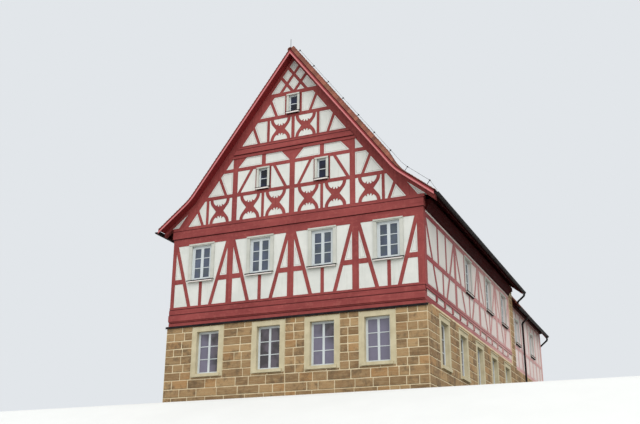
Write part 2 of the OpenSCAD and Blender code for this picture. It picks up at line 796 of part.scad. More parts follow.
apex_rafter_run = rafter_run - 300;
lattice_top = apex_z + 780;
lattice_step = 640;
lattice_reach = 1000;
function apex_x(z) = slope_x(z) - apex_rafter_run;
apex_top = ridge_z - pitch * apex_rafter_run;
module apex_area() { polygon([[-apex_x(apex_z), apex_z], [apex_x(apex_z), apex_z], [0, apex_top]]); }
module lattice_bars() {
    for (s = [-1, 1]) for (k = [0, 1]) {
        x = -s * k * lattice_step;
        run = [s * lattice_reach / pitch, -lattice_reach];
        bar2([x, lattice_top] + run, [x, lattice_top] - run, lattice_w);
    }
}
module apex_lattice() {
    color(timber_col) placed() upright(0, wall_t) intersection() {
        apex_area();
        lattice_bars();
    }
}
module apex_infill() {
    color(plaster_col) placed() upright(recess, wall_t - 2 * recess) difference() {
        apex_area();
        lattice_bars();
    }
}
module gable_rafters() {
    color(timber_col) placed() upright(0, wall_t) {
        difference() {
            polygon([[-slope_x(attic_z), attic_z], [slope_x(attic_z), attic_z], [0, ridge_z]]);
            between_rafters(attic_z - 1, apex_z);
            apex_area();
        }
        for (s = [-1, 1]) polygon([[s * kink_x, kink_z], [s * (eaves_x - 60), under_z(eaves_x - 60)],
            [s * (eaves_x - 60), under_z(eaves_x - 60) - sprocket_h / cos(flare_a)],
            [s * (kink_x + 280), under_z(kink_x + 280) - sprocket_h / cos(flare_a)]]);
    }
}
attic_sash_y = 50;
attic_head_board_h = 60;
module attic_window(x, z, h) {
    translate([x, 0, 0]) {
        casing(attic_win_w, h, z, attic_casing_w, casing_out, attic_head_board_h);
        sashes(attic_win_w, h, z, 1, attic_sash_y, attic_bars_w);
    }
}
module attic_windows() {
    color(window_col) placed() {
        for (x = attic_win_x) attic_window(x, attic_win_z, attic_win_h);
        attic_window(0, top_win_z, top_win_h);
    }
}
module window_glass() {
    color(glass_col) placed() {
        each_ground_window()
            panes(ground_win_w, ground_win_h, ground_sill_z, 2, ground_sash_y, ground_bars);
        each_front_window() panes(upper_win_w, upper_win_h, upper_z, 2, upper_sash_y, upper_bars);
        each_side_window() panes(upper_win_w, upper_win_h, upper_z, 2, side_sash_y, upper_bars);
        for (x = attic_win_x) translate([x, 0, 0])
            panes(attic_win_w, attic_win_h, attic_win_z, 1, attic_sash_y, attic_bars_w);
        panes(attic_win_w, top_win_h, top_win_z, 1, attic_sash_y, attic_bars_w);
        each_wing_window() panes(wing_win_w, wing_win_h, wing_win_z, 2, side_sash_y, upper_bars);
    }
}

// Roof of the main house

bend_a = slope_a - flare_a;
bend_run = flare_r * tan(bend_a / 2);
bend_c = [kink_x + bend_run * cos(flare_a) + flare_r * sin(flare_a),
    kink_z - bend_run * sin(flare_a) + flare_r * cos(flare_a)];
bend_pts = 8;
// Right half of the roof section, t above the underside at its top
function roof_line(t) = [
    [0, ridge_z + t / cos(slope_a)],
    each [for (i = [0:bend_pts]) let (a = slope_a - bend_a * i / bend_pts)
        bend_c - (flare_r - t) * [sin(a), cos(a)]],
    [eaves_x, eaves_z + t / cos(flare_a)]];
function reversed(v) = [for (i = [len(v) - 1:-1:0]) v[i]];
module roof_half() {
    upright(-verge_out, main_l + verge_out + rear_over)
        polygon(concat(roof_line(roof_t), reversed(roof_line(0))));
}
module roof_right() { color(tile_col) placed() roof_half(); }
module roof_left() { color(tile_col) placed() mirror([1, 0, 0]) roof_half(); }
ridge_r = 110;
ridge_tile_t = 18;
module ridge_arch(z) {
    difference() {
        translate([0, z]) circle(ridge_r, $fn = 48);
        translate([0, z]) circle(ridge_r - ridge_tile_t, $fn = 48);
        box2(-2 * ridge_r, 2 * ridge_r, z - 2 * ridge_r, z - 20);
    }
}
module ridge_tiles() {
    color(tile_col) placed() {
        upright(-verge_out - 40, main_l + 2 * verge_out + 80) difference() {
            ridge_arch(ridge_z + roof_t);
            for (s = [-1, 1]) polygon([[0, 0], [0, ridge_z + roof_t / cos(slope_a)],
                [s * 1000, ridge_z + roof_t / cos(slope_a) - 1000 * pitch]]);
        }
    }
}
board_h = 60;
board_top = 5;
board_gap = 5;
board_t = 40;
cover_top = 60;
cover_t = 22;
// Strip along both slopes of the main roof, from low to top over its underside
module verge_strip(low, top) {
    polygon(concat(roof_line(top), reversed(roof_line(low))));
    mirror([1, 0]) polygon(concat(roof_line(top), reversed(roof_line(low))));
}
// Bargeboards, on the main roof with a thinner cover strip over the edges of the tiles
module bargeboards() {
    front = -verge_out - board_gap;
    rear = main_l + rear_over + board_gap;
    color(timber_col) placed() {
        upright(front - board_t, board_t) verge_strip(board_top - board_h, board_top);
        upright(front - cover_t, cover_t) verge_strip(board_top, cover_top);
        upright(rear, board_t) verge_strip(board_top - board_h, board_top);
        upright(rear, cover_t) verge_strip(board_top, cover_top);
        upright(wing_end + verge_out + board_gap, board_t) wing_bargeboard();
    }
}
rod_r = 9;
rod_h = 430;
rod_foot_r = 30;
// Lightning rod on a saddle at the front end of the ridge
module lightning_rod() {
    top = ridge_z + roof_t + ridge_r;
    color(metal_col) placed() translate([0, -verge_out + 2 * rod_foot_r, 0]) difference() {
        union() {
            translate([0, 0, top - 30]) cylinder(h = 50, r = rod_foot_r, $fn = 32);
            translate([0, 0, top + 20]) cylinder(h = rod_h - 20, r = rod_r, $fn = 24);
        }
        translate([0, 2 * rod_foot_r, ridge_z + roof_t]) rotate([90, 0, 0])
            cylinder(h = 4 * rod_foot_r, r = ridge_r, $fn = 48);
    }
}

// Eaves of the main house: moulded cornice, rafter feet and gutters

cornice_out = 260;
cornice_h = 300;
cornice_low = 80;
cornice_r = 190;
wing_cornice_out = 120;
wing_cornice_h = 180;
module eaves_cornice() {
    z = tie_top_z - cornice_low;
    upright(wall_t, main_l - wall_t - fire_wall_t) difference() {
        box2(half_w, half_w + cornice_out, z, tie_top_z + cornice_h);
        translate([half_w + cornice_out, z]) circle(cornice_r, $fn = 64);
    }
}
module wing_cornice() {
    x = half_w + wing_cornice_out;
    upright(main_l, wing_l) polygon([[half_w, wing_top_z - wing_cornice_h], [x, wing_top_z - wing_cornice_h],
        [x, wing_slope_z - pitch * wing_cornice_out], [half_w, wing_slope_z]]);
}
module eaves_cornices() {
    color(timber_col) placed() mirrored_x() {
        eaves_cornice();
        wing_cornice();
    }
}
foot_pitch = 850;
foot_w = 120;
foot_end_x = eaves_x - 60;
eaves_board_t = 28;
module rafter_foot(y) {
    low = sprocket_h / cos(flare_a);
    a = half_w - 300;
    b = foot_end_x;
    upright(y, foot_w)
        polygon([[a, under_z(a)], [b, under_z(b)], [b, under_z(b) - low], [a, under_z(a) - low]]);
}
// Board along the ends of the rafter feet, under the tiles
module eaves_board() {
    a = foot_end_x;
    b = foot_end_x + eaves_board_t;
    upright(wall_t, main_l - wall_t) polygon([[a, under_z(a)], [b, under_z(b)], [b, under_z(a) - sprocket_h],
        [a, under_z(a) - sprocket_h]]);
}
module rafter_feet() {
    color(timber_col) placed() mirrored_x() {
        for (y = [foot_pitch:foot_pitch:frame_l - foot_w]) rafter_foot(y);
        eaves_board();
    }
}
gutter_x = eaves_x + gutter_r + 10;
gutter_z = eaves_z + 10;
module gutter_2d(x, z) {
    translate([x, z]) difference() {
        circle(gutter_r, $fn = 48);
        circle(gutter_r - 6, $fn = 48);
        translate([-2 * gutter_r, 0]) square([4 * gutter_r, 2 * gutter_r]);
    }
}
module gutters() {
    color(metal_col) placed() mirrored_x() {
        upright(-verge_out, main_l + verge_out + rear_over) gutter_2d(gutter_x, gutter_z);
        upright(main_l + 20, wing_l + verge_out - 20) gutter_2d(wing_gutter_x, wing_gutter_z);
    }
}

// Pipes with swan necks: straight lengths in sleeves, joined by bends that end in the sleeves
pipe_r = 50;
pipe_bend_r = 120;
neck_a = 50;
sleeve_t = 5;
sleeve_h = 50;
pipe_gap = 8;
module pipe_bend(x, z, a0, a1) {
    translate([x, 0, z]) rotate([90, 0, 0]) rotate([0, 0, a0])
        rotate_extrude(angle = a1 - a0, $fn = 96) translate([pipe_bend_r, 0]) circle(pipe_r, $fn = 32);
}
module pipe_length(h, low_sleeve = true, top_sleeve = true) {
    low_gap = low_sleeve ? pipe_gap : 0;
    top_gap = top_sleeve ? pipe_gap : 0;
    translate([0, 0, low_gap]) cylinder(h = h - low_gap - top_gap, r = pipe_r, $fn = 32);
    ends = [if (low_sleeve) 0, if (top_sleeve) h];
    for (z = ends) translate([0, 0, z - sleeve_h / 2])
        cylinder(h = sleeve_h, r = pipe_r + sleeve_t, $fn = 32);
}
// Height at which a swan neck from x0, z0 ends over x1
function neck_l(x0, x1) = (x0 - x1 - 2 * pipe_bend_r * (1 - cos(neck_a))) / sin(neck_a);
function neck_low(x0, z0, x1) = z0 - 2 * pipe_bend_r * sin(neck_a) - neck_l(x0, x1) * cos(neck_a);
// Pipe from an outlet at x0, z0 down by drop, in to x1, and on down to z1
module swan_pipe(y, x0, z0, x1, z1, drop) {
    top = z0 - drop;
    low = neck_low(x0, top, x1);
    translate([0, y, 0]) {
        translate([x0, 0, top]) pipe_length(drop, true, false);
        pipe_bend(x0 - pipe_bend_r, top, -neck_a, 0);
        translate([x0 - pipe_bend_r * (1 - cos(neck_a)), 0, top - pipe_bend_r * sin(neck_a)])
            rotate([0, 180 + neck_a, 0]) pipe_length(neck_l(x0, x1));
        pipe_bend(x1 + pipe_bend_r, low, 180 - neck_a, 180);
        translate([x1, 0, z1]) pipe_length(low - z1, false, true);
    }
}
outlet_in = 120;
outlet_up = 3;
outlet_drop = 60;
end_drop = 150;
spout_l = 60;
module downpipes() {
    roof_spout_x = wing_eaves_x - 10;
    main_outlet_z = gutter_z - gutter_r + outlet_up;
    wing_outlet_z = wing_gutter_z - gutter_r + outlet_up;
    wing_pipe_y = main_l + 1.05 * wing_bay;
    rear_pipe_y = wing_end + pipe_r + 45;
    color(metal_col) placed() mirrored_x() {
        swan_pipe(main_l + rear_over - outlet_in, gutter_x, main_outlet_z, roof_spout_x,
            neck_low(gutter_x, main_outlet_z - outlet_drop, roof_spout_x) - spout_l, outlet_drop);
        swan_pipe(wing_pipe_y, wing_gutter_x, wing_outlet_z, stone_x + pipe_r + 20, 0, outlet_drop);
        swan_pipe(rear_pipe_y, wing_gutter_x, wing_outlet_z, stone_x - 200, 0, end_drop);
    }
}

// Wing

wing_base_z = stone_top;
wing_sill_h = 200;
wing_foot_z = stone_top + wing_sill_h;
wing_top_z = wing_base_z + wing_wall_h;
wing_slope_z = wing_top_z + 100;
wing_ridge_z = wing_slope_z + pitch * half_w;
wing_eaves_x = half_w + wing_eaves_out;
wing_gutter_x = wing_eaves_x + gutter_r + 10;
wing_gutter_z = wing_slope_z - pitch * wing_eaves_out + 30;
wing_bay = wing_l / wing_bays;
wing_win_w = 900;
wing_win_h = 1200;
wing_win_z = wing_foot_z + 1280;
wing_casing_w = 110;
wing_sides_y = [for (i = [0:wing_bays - 1]) main_l + (i + 0.5) * wing_bay];
wing_win_y = [wing_sides_y[0], wing_sides_y[2]];
wing_gable_x = [-3 * quarter / 2, 0, 3 * quarter / 2];
wing_slab_t = 200;
wing_plate_h = 180;
wing_post_w = 180;
wing_side_rails = [wing_foot_z + 950, wing_top_z - 370];
function wing_x(z) = (wing_ridge_z - z) / pitch;
module wing_floors() {
    color(floor_col) placed() {
        translate([stone_t - stone_x, main_l, 0]) cube([2 * (stone_x - stone_t), wing_l - stone_t, floor_t]);
        translate([wall_t - half_w, main_l, wing_base_z])
            cube([house_w - 2 * wall_t, wing_l - wall_t, floor_t]);
        translate([wall_t - half_w, main_l, wing_top_z - wing_slab_t])
            cube([house_w - 2 * wall_t, wing_l - wall_t, wing_slab_t]);
    }
}
module wing_side_walls() {
    color(stone_col) placed() mirrored_x() translate([stone_x - stone_t, main_l, 0])
        cube([stone_t, wing_l - stone_t + stone_proud, wing_base_z]);
}
module wing_rear_wall() {
    color(stone_col) placed() translate([-stone_x, wing_end - stone_t + stone_proud, 0])
        cube([2 * stone_x, stone_t, wing_base_z]);
}
module wing_side_bars() {
    box2(main_l, wing_end, wing_base_z, wing_foot_z);
    box2(main_l, wing_end, wing_top_z - wing_plate_h, wing_top_z);
    for (z = wing_side_rails) box2(main_l, wing_end, z, z + bar_w);
    ends = [main_l + wing_post_w / 2, wing_end - wall_t - wing_post_w / 2];
    inner = [for (i = [1:wing_bays - 1]) main_l + i * wing_bay];
    for (y = concat(ends, inner)) post2(y, wing_post_w, wing_base_z, wing_top_z);
    for (y = wing_sides_y) post2(y, short_w, wing_base_z, wing_top_z);
}
module wing_side_openings() {
    for (y = wing_win_y) post2(y, wing_win_w, wing_win_z, wing_win_z + wing_win_h);
}
module wing_side_area() { box2(main_l, wing_end - wall_t, wing_base_z, wing_top_z); }
module wing_side_frames() {
    color(timber_col) placed() mirrored_x() sideways(half_w - wall_t, wall_t) difference() {
        intersection() {
            wing_side_area();
            wing_side_bars();
        }
        wing_side_openings();
    }
}
module wing_side_infill() {
    color(plaster_col) placed() mirrored_x() sideways(half_w - wall_t + recess, wall_t - 2 * recess)
        difference() {
            wing_side_area();
            wing_side_bars();
            wing_side_openings();
        }
}
module wing_gable_area() {
    polygon([[-half_w, wing_base_z], [half_w, wing_base_z], [half_w, wing_slope_z], [0, wing_ridge_z],
        [-half_w, wing_slope_z]]);
}
wing_rails = [wing_foot_z + 950, wing_top_z, wing_top_z + 2600, wing_top_z + 4900];
wing_rail_h = 200;
wing_rafter_w = 300;
wing_post_n = 4;
wing_brace = 1050;
module wing_gable_bars() {
    box2(-half_w, half_w, wing_base_z, wing_foot_z);
    for (z = wing_rails) box2(-half_w, half_w, z, z + wing_rail_h);
    for (i = [-wing_post_n:wing_post_n]) post2(i * (half_w - wing_post_w / 2) / wing_post_n,
        wing_post_w, wing_base_z, wing_ridge_z);
    for (s = [-1, 1]) {
        edge = [s * wing_rafter_w / 2, 0];
        bar2([s * wing_x(wing_top_z), wing_top_z] - edge, [0, wing_ridge_z] - edge, wing_rafter_w, 500);
        bar2([s * (half_w - wing_post_w), wing_top_z], [s * (half_w - wing_post_w - wing_brace), wing_foot_z],
            bar_w);
        bar2([s * wing_post_w / 2, wing_top_z], [s * (wing_post_w / 2 + wing_brace), wing_foot_z], bar_w);
    }
}
module wing_gable_openings() {
    for (x = wing_gable_x) post2(x, wing_win_w, wing_win_z, wing_win_z + wing_win_h);
}
module wing_gable_frame() {
    color(timber_col) placed() upright(wing_end - wall_t, wall_t) difference() {
        intersection() {
            wing_gable_area();
            wing_gable_bars();
        }
        wing_gable_openings();
    }
}
module wing_gable_infill() {
    color(plaster_col) placed() upright(wing_end - wall_t + recess, wall_t - 2 * recess) difference() {
        wing_gable_area();
        wing_gable_bars();
        wing_gable_openings();
    }
}
module each_wing_window() {
    for (y = wing_win_y) {
        translate([half_w, y, 0]) rotate([0, 0, 90]) children();
        translate([-half_w, y, 0]) rotate([0, 0, -90]) children();
    }
    for (x = wing_gable_x) translate([x, wing_end, 0]) rotate([0, 0, 180]) children();
}
module wing_windows() {
    color(window_col) placed() each_wing_window() {
        casing(wing_win_w, wing_win_h, wing_win_z, wing_casing_w, side_casing_out, head_board_h);
        sashes(wing_win_w, wing_win_h, wing_win_z, 2, side_sash_y, upper_bars);
    }
}
function wing_roof_line(t) = [[0, wing_ridge_z + t / cos(slope_a)],
    [wing_eaves_x, wing_slope_z - pitch * wing_eaves_out + t / cos(slope_a)]];
module wing_roof_half() {
    upright(main_l, wing_l + verge_out) polygon(concat(wing_roof_line(roof_t), reversed(wing_roof_line(0))));
}
module wing_bargeboard() {
    for (s = [0, 1]) mirror([s, 0])
        polygon(concat(wing_roof_line(board_top), reversed(wing_roof_line(board_top - board_h))));
}
module wing_roof_right() { color(tile_col) placed() wing_roof_half(); }
module wing_roof_left() { color(tile_col) placed() mirror([1, 0, 0]) wing_roof_half(); }

ground_floor();
front_stone_wall();
right_stone_wall();
left_stone_wall();
rear_stone_wall();
stone_surrounds();
ground_windows();
entrance_door();
front_jetty_beams();
side_jetty_beams();
upper_floor();
front_frame();
front_infill();
right_frame();
right_infill();
left_frame();
left_infill();
upper_windows();
tie_beams();
attic_floor();
attic_frame();
attic_infill();
attic_beam();
top_floor();
top_frame();
top_infill();
apex_lattice();
apex_infill();
gable_rafters();
attic_windows();
window_glass();
roof_right();
roof_left();
ridge_tiles();
bargeboards();
eaves_cornices();
rafter_feet();
gutters();
downpipes();
wing_floors();
wing_side_walls();
wing_rear_wall();
wing_side_frames();
wing_side_infill();
wing_gable_frame();
wing_gable_infill();
wing_windows();
wing_roof_right();
wing_roof_left();
lightning_rod();
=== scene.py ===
import math
import random

import bmesh
import bpy
import numpy as np
from mathutils import Matrix, Vector


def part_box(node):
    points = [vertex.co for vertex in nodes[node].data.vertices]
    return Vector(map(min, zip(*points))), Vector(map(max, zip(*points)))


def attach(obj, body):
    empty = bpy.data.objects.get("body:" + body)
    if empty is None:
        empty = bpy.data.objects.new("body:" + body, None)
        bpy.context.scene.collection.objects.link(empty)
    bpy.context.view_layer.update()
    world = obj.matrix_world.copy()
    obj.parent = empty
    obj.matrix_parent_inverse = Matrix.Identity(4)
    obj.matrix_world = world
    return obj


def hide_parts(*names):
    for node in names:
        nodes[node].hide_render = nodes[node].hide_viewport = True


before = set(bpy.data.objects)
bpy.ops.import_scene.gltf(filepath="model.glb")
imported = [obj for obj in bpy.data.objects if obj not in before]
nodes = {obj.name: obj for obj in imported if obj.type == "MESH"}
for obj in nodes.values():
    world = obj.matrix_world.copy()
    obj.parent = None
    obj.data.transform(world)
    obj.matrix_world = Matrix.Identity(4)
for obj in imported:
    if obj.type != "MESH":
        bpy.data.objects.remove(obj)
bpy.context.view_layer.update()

# Sizes are in metres, in the frame of the part. Places come from the boxes of the CAD nodes.
FRONT_LO, FRONT_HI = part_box("front_frame")
STONE_LO, STONE_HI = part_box("front_stone_wall")
FIRE_LO, FIRE_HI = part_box("rear_stone_wall")
WING_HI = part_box("wing_rear_wall")[1]
FRONT_Y = FRONT_LO.y
HALF_W = FRONT_HI.x
STONE_X = STONE_HI.x
STONE_TOP = STONE_HI.z
ATTIC_Z = 7.5
WELD = 0.0002


# Colours

def rgb(r, g, b):
    """Linear colour of an sRGB colour given in 0 to 255."""
    def linear(c):
        c = c / 255
        return c / 12.92 if c <= 0.04045 else ((c + 0.055) / 1.055) ** 2.4
    return (linear(r), linear(g), linear(b), 1.0)


# Shader helpers

class Shader:
    """A material with one Principled shader, and short ways to add nodes to it."""

    def __init__(self, name, roughness):
        self.material = bpy.data.materials.new(name)
        self.material.use_nodes = True
        self.tree = self.material.node_tree
        self.principled = self.tree.nodes["Principled BSDF"]
        self.roughness(roughness)
        self.place = self.node("TexCoord", {}).outputs["Object"]

    def feed(self, value, socket):
        """Links a socket, or sets a constant."""
        if isinstance(value, bpy.types.NodeSocket):
            self.tree.links.new(value, socket)
        else:
            socket.default_value = value

    def node(self, kind, inputs):
        """A new node. The inputs are given by name or number, each as a socket or a constant."""
        node = self.tree.nodes.new("ShaderNode" + kind)
        for name, value in inputs.items():
            self.feed(value, node.inputs[name])
        return node

    def stretched(self, scale):
        """Coordinates scaled by a factor for each axis."""
        return self.node("Mapping", {"Scale": scale, "Vector": self.place}).outputs["Vector"]

    def noise(self, scale, detail, roughness, vector=None):
        inputs = {"Scale": scale, "Detail": detail, "Roughness": roughness, "Vector": vector or self.place}
        return self.node("TexNoise", inputs).outputs["Fac"]

    def band(self, value, low, high):
        """Maps low..high of a value to 0..1, clamped."""
        return self.node("MapRange", {"From Min": low, "From Max": high, "Value": value}).outputs["Result"]

    def calculated(self, operation, *values):
        node = self.node("Math", dict(enumerate(values)))
        node.operation = operation
        return node.outputs[0]

    def times(self, value, factor):
        return self.calculated("MULTIPLY", value, factor)

    def fraction(self, value):
        return self.calculated("FRACT", value)

    def mix(self, factor, a, b):
        """Mixes two colours: a at 0, b at 1."""
        mix = self.node("Mix", {})
        mix.data_type = "RGBA"
        for value, socket in ((factor, "Factor"), (a, 6), (b, 7)):
            self.feed(value, mix.inputs[socket])
        return mix.outputs[2]

    def blend(self, value, low, high, a, b, most=1.0):
        """Goes from a to b as a value goes from low to high, or only part of the way to b."""
        share = self.band(value, low, high)
        return self.mix(share if most == 1.0 else self.times(share, most), a, b)

    def axis(self, index):
        """One coordinate of the place on the object, 0 to 2 for x to z."""
        return self.node("SeparateXYZ", {0: self.place}).outputs[index]

    def attribute(self, name):
        """A value that every face of a mesh carries, such as the tone of its shape."""
        attribute = self.node("Attribute", {})
        attribute.attribute_name = name
        return attribute.outputs["Fac"]

    def bump(self, height, distance, strength, below=None):
        """Relief, over another one where its normal is given."""
        bump = self.node("Bump", {"Distance": distance, "Strength": strength, "Height": height})
        if below:
            self.feed(below, bump.inputs["Normal"])
        self.feed(bump.outputs["Normal"], self.principled.inputs["Normal"])
        return bump.outputs["Normal"]

    def color(self, value):
        self.feed(value, self.principled.inputs["Base Color"])

    def roughness(self, value):
        self.feed(value, self.principled.inputs["Roughness"])

    def specular(self, value):
        self.feed(value, self.principled.inputs["Specular IOR Level"])


ALONG_X = (2.0, 45.0, 45.0)
ALONG_Y = (45.0, 2.0, 45.0)
ALONG_Z = (45.0, 45.0, 2.0)


def painted_timber(name, base, shade, faded, grain, gloss=0.3, rear=None, front=None, grooves=()):
    """Oil paint on old timber: grain and fine cracks along one axis, faded and darker patches.

    rear is a colour that the paint fades to towards the rear of the main house. front is a place on y and
    a colour that lies in front of it. grooves are pairs of heights between which a dark line of painted
    shade is laid.
    """
    s = Shader(name, 0.62)
    fibre = s.noise(1.0, 4.0, 0.65, s.stretched(grain))
    streak = s.noise(1.0, 3.0, 0.6, s.stretched([g / 4 for g in grain]))
    patch = s.noise(0.9, 3.0, 0.55)
    spots = s.noise(7.0, 5.0, 0.6)
    tint = s.blend(patch, 0.35, 0.65, base, shade, 0.7)
    if rear:
        tint = s.blend(s.axis(1), FRONT_Y + 1.0, FIRE_LO.y - 2.5, tint, rear)
    tint = s.blend(spots, 0.5, 0.75, tint, faded, 0.5)
    tint = s.blend(fibre, 0.55, 0.8, tint, shade, 0.4)
    tint = s.blend(streak, 0.5, 0.7, tint, shade, 0.6)
    if front:
        edge, color = front
        tint = s.blend(s.axis(1), edge + 0.001, edge - 0.001, tint, color)
    # Painted shade: a dark line in each groove, where the band above would shade it.
    for low, high in grooves:
        inside = s.times(s.band(s.axis(2), low - 0.002, low), s.band(s.axis(2), high + 0.004, high))
        tint = s.mix(s.times(inside, 0.85), tint, GROOVE_SHADE)
    s.color(tint)
    s.roughness(s.band(spots, -1.6, 1.2))
    s.specular(gloss)
    cracks = s.bump(s.band(fibre, 0.3, 0.75), 0.004, 0.7)
    s.bump(spots, 0.01, 0.25, cracks)
    return s.material


def lime_plaster(name, base, shade, rear=None):
    """Hand-trowelled infill, a warm white with grey weathering."""
    s = Shader(name, 0.9)
    patch = s.noise(1.3, 4.0, 0.6)
    trowel = s.noise(9.0, 4.0, 0.55)
    grit = s.noise(160.0, 2.0, 0.5)
    streak = s.noise(1.0, 3.0, 0.6, s.stretched((9.0, 9.0, 0.8)))
    tint = s.blend(patch, 0.3, 0.7, base, shade)
    if rear:
        tint = s.blend(s.axis(1), FRONT_Y, FIRE_LO.y, tint, rear)
    tint = s.blend(streak, 0.55, 0.8, tint, rgb(184, 184, 172), 0.4)
    tint = s.blend(trowel, 0.6, 0.8, tint, rgb(232, 230, 222), 0.25)
    s.color(tint)
    low = s.bump(trowel, 0.012, 0.5)
    s.bump(grit, 0.002, 0.4, low)
    return s.material


def painted_line():
    """Thin grey line painted on the plaster along the timbers."""
    s = Shader("painted_line", 0.85)
    worn = s.noise(6.0, 4.0, 0.6)
    s.color(s.blend(worn, 0.4, 0.7, rgb(160, 148, 142), rgb(196, 188, 180)))
    s.bump(worn, 0.002, 0.4)
    return s.material


def lime_mortar():
    s = Shader("lime_mortar", 0.95)
    patch = s.noise(3.0, 4.0, 0.6)
    grit = s.noise(120.0, 2.0, 0.6)
    s.color(s.blend(patch, 0.3, 0.7, rgb(226, 210, 176), rgb(202, 185, 150)))
    s.bump(grit, 0.003, 0.6)
    return s.material


def sandstone():
    """Blocks that differ in tone, some orange, with bedding, iron stains and pitted faces."""
    s = Shader("sandstone", 0.92)
    tone = s.attribute("tone")
    kind = s.fraction(s.times(tone, 7.3))
    bedding = s.noise(1.0, 4.0, 0.6, s.stretched((3.0, 3.0, 16.0)))
    pits = s.noise(38.0, 4.0, 0.65)
    stain = s.noise(2.6, 5.0, 0.65)
    tint = s.mix(tone, rgb(174, 141, 99), rgb(126, 98, 66))
    tint = s.blend(kind, 0.84, 0.92, tint, rgb(172, 128, 80), 0.6)
    tint = s.blend(bedding, 0.45, 0.75, tint, rgb(184, 162, 122), 0.5)
    tint = s.blend(stain, 0.5, 0.64, tint, rgb(98, 79, 56), 0.7)
    tint = s.blend(pits, 0.56, 0.74, tint, rgb(76, 61, 44), 0.65)
    s.color(tint)
    low = s.bump(bedding, 0.012, 0.6)
    s.bump(pits, 0.006, 0.7, low)
    return s.material


def dressed_stone():
    s = Shader("dressed_stone", 0.88)
    patch = s.noise(2.4, 4.0, 0.6)
    pits = s.noise(60.0, 3.0, 0.6)
    streak = s.noise(1.0, 3.0, 0.6, s.stretched((7.0, 7.0, 1.0)))
    tint = s.blend(patch, 0.35, 0.65, rgb(204, 193, 161), rgb(188, 176, 143))
    tint = s.blend(streak, 0.55, 0.8, tint, rgb(160, 150, 124), 0.5)
    s.color(tint)
    s.bump(pits, 0.003, 0.5)
    return s.material


def white_paint():
    s = Shader("white_paint", 0.45)
    patch = s.noise(2.0, 3.0, 0.55)
    fibre = s.noise(1.0, 3.0, 0.6, s.stretched((30.0, 30.0, 3.0)))
    frames = s.blend(patch, 0.3, 0.7, rgb(208, 214, 215), rgb(194, 200, 201))
    casings = s.blend(patch, 0.3, 0.7, rgb(203, 203, 193), rgb(184, 185, 174))
    tint = s.blend(s.axis(1), FRONT_Y, FRONT_Y - 0.002, frames, casings)
    for beyond in (HALF_W, -HALF_W):
        tint = s.blend(s.axis(0), beyond, beyond * 1.0004, tint, casings)
    s.color(s.blend(fibre, 0.6, 0.85, tint, rgb(158, 160, 152), 0.35))
    s.bump(fibre, 0.001, 0.4)
    return s.material


def pane():
    """Old window glass over dark rooms, slightly wavy, with a tone for each storey and painted reflections of
    the sky.
    """
    s = Shader("pane", 0.06)
    wave = s.noise(3.0, 2.0, 0.5)
    depth = s.noise(1.1, 2.0, 0.5)
    each = s.noise(2.9, 1.0, 0.4)
    sky_reflection = s.noise(0.5, 1.0, 0.4)
    # The dark tones are the rooms behind the glass, and the lighter blue ones are a painted reflection of the
    # sky.
    tint = s.blend(depth, 0.3, 0.7, rgb(36, 46, 62), rgb(76, 86, 108))
    tint = s.blend(each, 0.48, 0.6, tint, rgb(62, 74, 76), 0.6)
    ground = s.blend(each, 0.4, 0.6, rgb(44, 36, 38), rgb(84, 74, 84))
    # Painted reflection: blue-violet patches of sky on the ground floor panes.
    ground = s.blend(sky_reflection, 0.5, 0.6, ground, rgb(118, 114, 136), 0.7)
    tint = s.blend(s.axis(2), STONE_TOP, STONE_TOP - 0.1, tint, ground)
    attic = s.blend(each, 0.4, 0.6, rgb(14, 17, 25), rgb(22, 30, 56))
    tint = s.blend(s.axis(2), ATTIC_Z, ATTIC_Z + 0.1, tint, attic)
    s.color(tint)
    s.principled.inputs["IOR"].default_value = 1.52
    s.specular(s.blend(s.axis(2), ATTIC_Z, ATTIC_Z + 0.1, (0.8, 0.8, 0.8, 1.0), (0.35, 0.35, 0.35, 1.0)))
    s.bump(wave, 0.01, 0.25)
    return s.material


def clay_tile():
    """Hand-made tiles that differ in tone, with patches of moss and lichen."""
    s = Shader("clay_tile", 0.85)
    tone = s.attribute("tone")
    moss = s.noise(1.7, 5.0, 0.65)
    lichen = s.noise(14.0, 4.0, 0.7)
    grit = s.noise(90.0, 2.0, 0.5)
    tint = s.mix(tone, rgb(160, 98, 78), rgb(112, 66, 54))
    tint = s.blend(moss, 0.5, 0.72, tint, rgb(104, 92, 60), 0.5)
    tint = s.blend(lichen, 0.62, 0.78, tint, rgb(140, 132, 104), 0.5)
    s.color(tint)
    s.bump(grit, 0.002, 0.6)
    return s.material


def dark_zinc():
    s = Shader("dark_zinc", 0.45)
    patch = s.noise(2.5, 4.0, 0.6)
    s.specular(0.12)
    s.color(s.blend(patch, 0.35, 0.65, rgb(20, 17, 17), rgb(34, 29, 28)))
    s.roughness(s.band(patch, -0.6, 1.2))
    return s.material


def lead_sheet():
    s = Shader("lead_sheet", 0.85)
    patch = s.noise(4.0, 4.0, 0.6)
    s.specular(0.1)
    s.color(s.blend(patch, 0.35, 0.65, rgb(24, 21, 21), rgb(42, 38, 38)))
    s.bump(patch, 0.004, 0.5)
    return s.material


def floor_boards():
    s = Shader("floor_boards", 0.7)
    fibre = s.noise(1.0, 4.0, 0.6, s.stretched((30.0, 1.5, 30.0)))
    patch = s.noise(1.2, 2.0, 0.5)
    tint = s.blend(patch, 0.3, 0.7, rgb(132, 104, 76), rgb(108, 82, 58))
    s.color(s.blend(fibre, 0.4, 0.8, tint, rgb(84, 62, 44)))
    s.bump(fibre, 0.002, 0.5)
    return s.material


RED = (rgb(151, 69, 66), rgb(123, 49, 48), rgb(172, 98, 90))
SIDE_RED = (rgb(150, 64, 66), rgb(124, 48, 52), rgb(174, 102, 100))
PALE_RED = rgb(208, 160, 156)
FADED = (rgb(212, 168, 164), rgb(196, 146, 143), rgb(222, 190, 184))
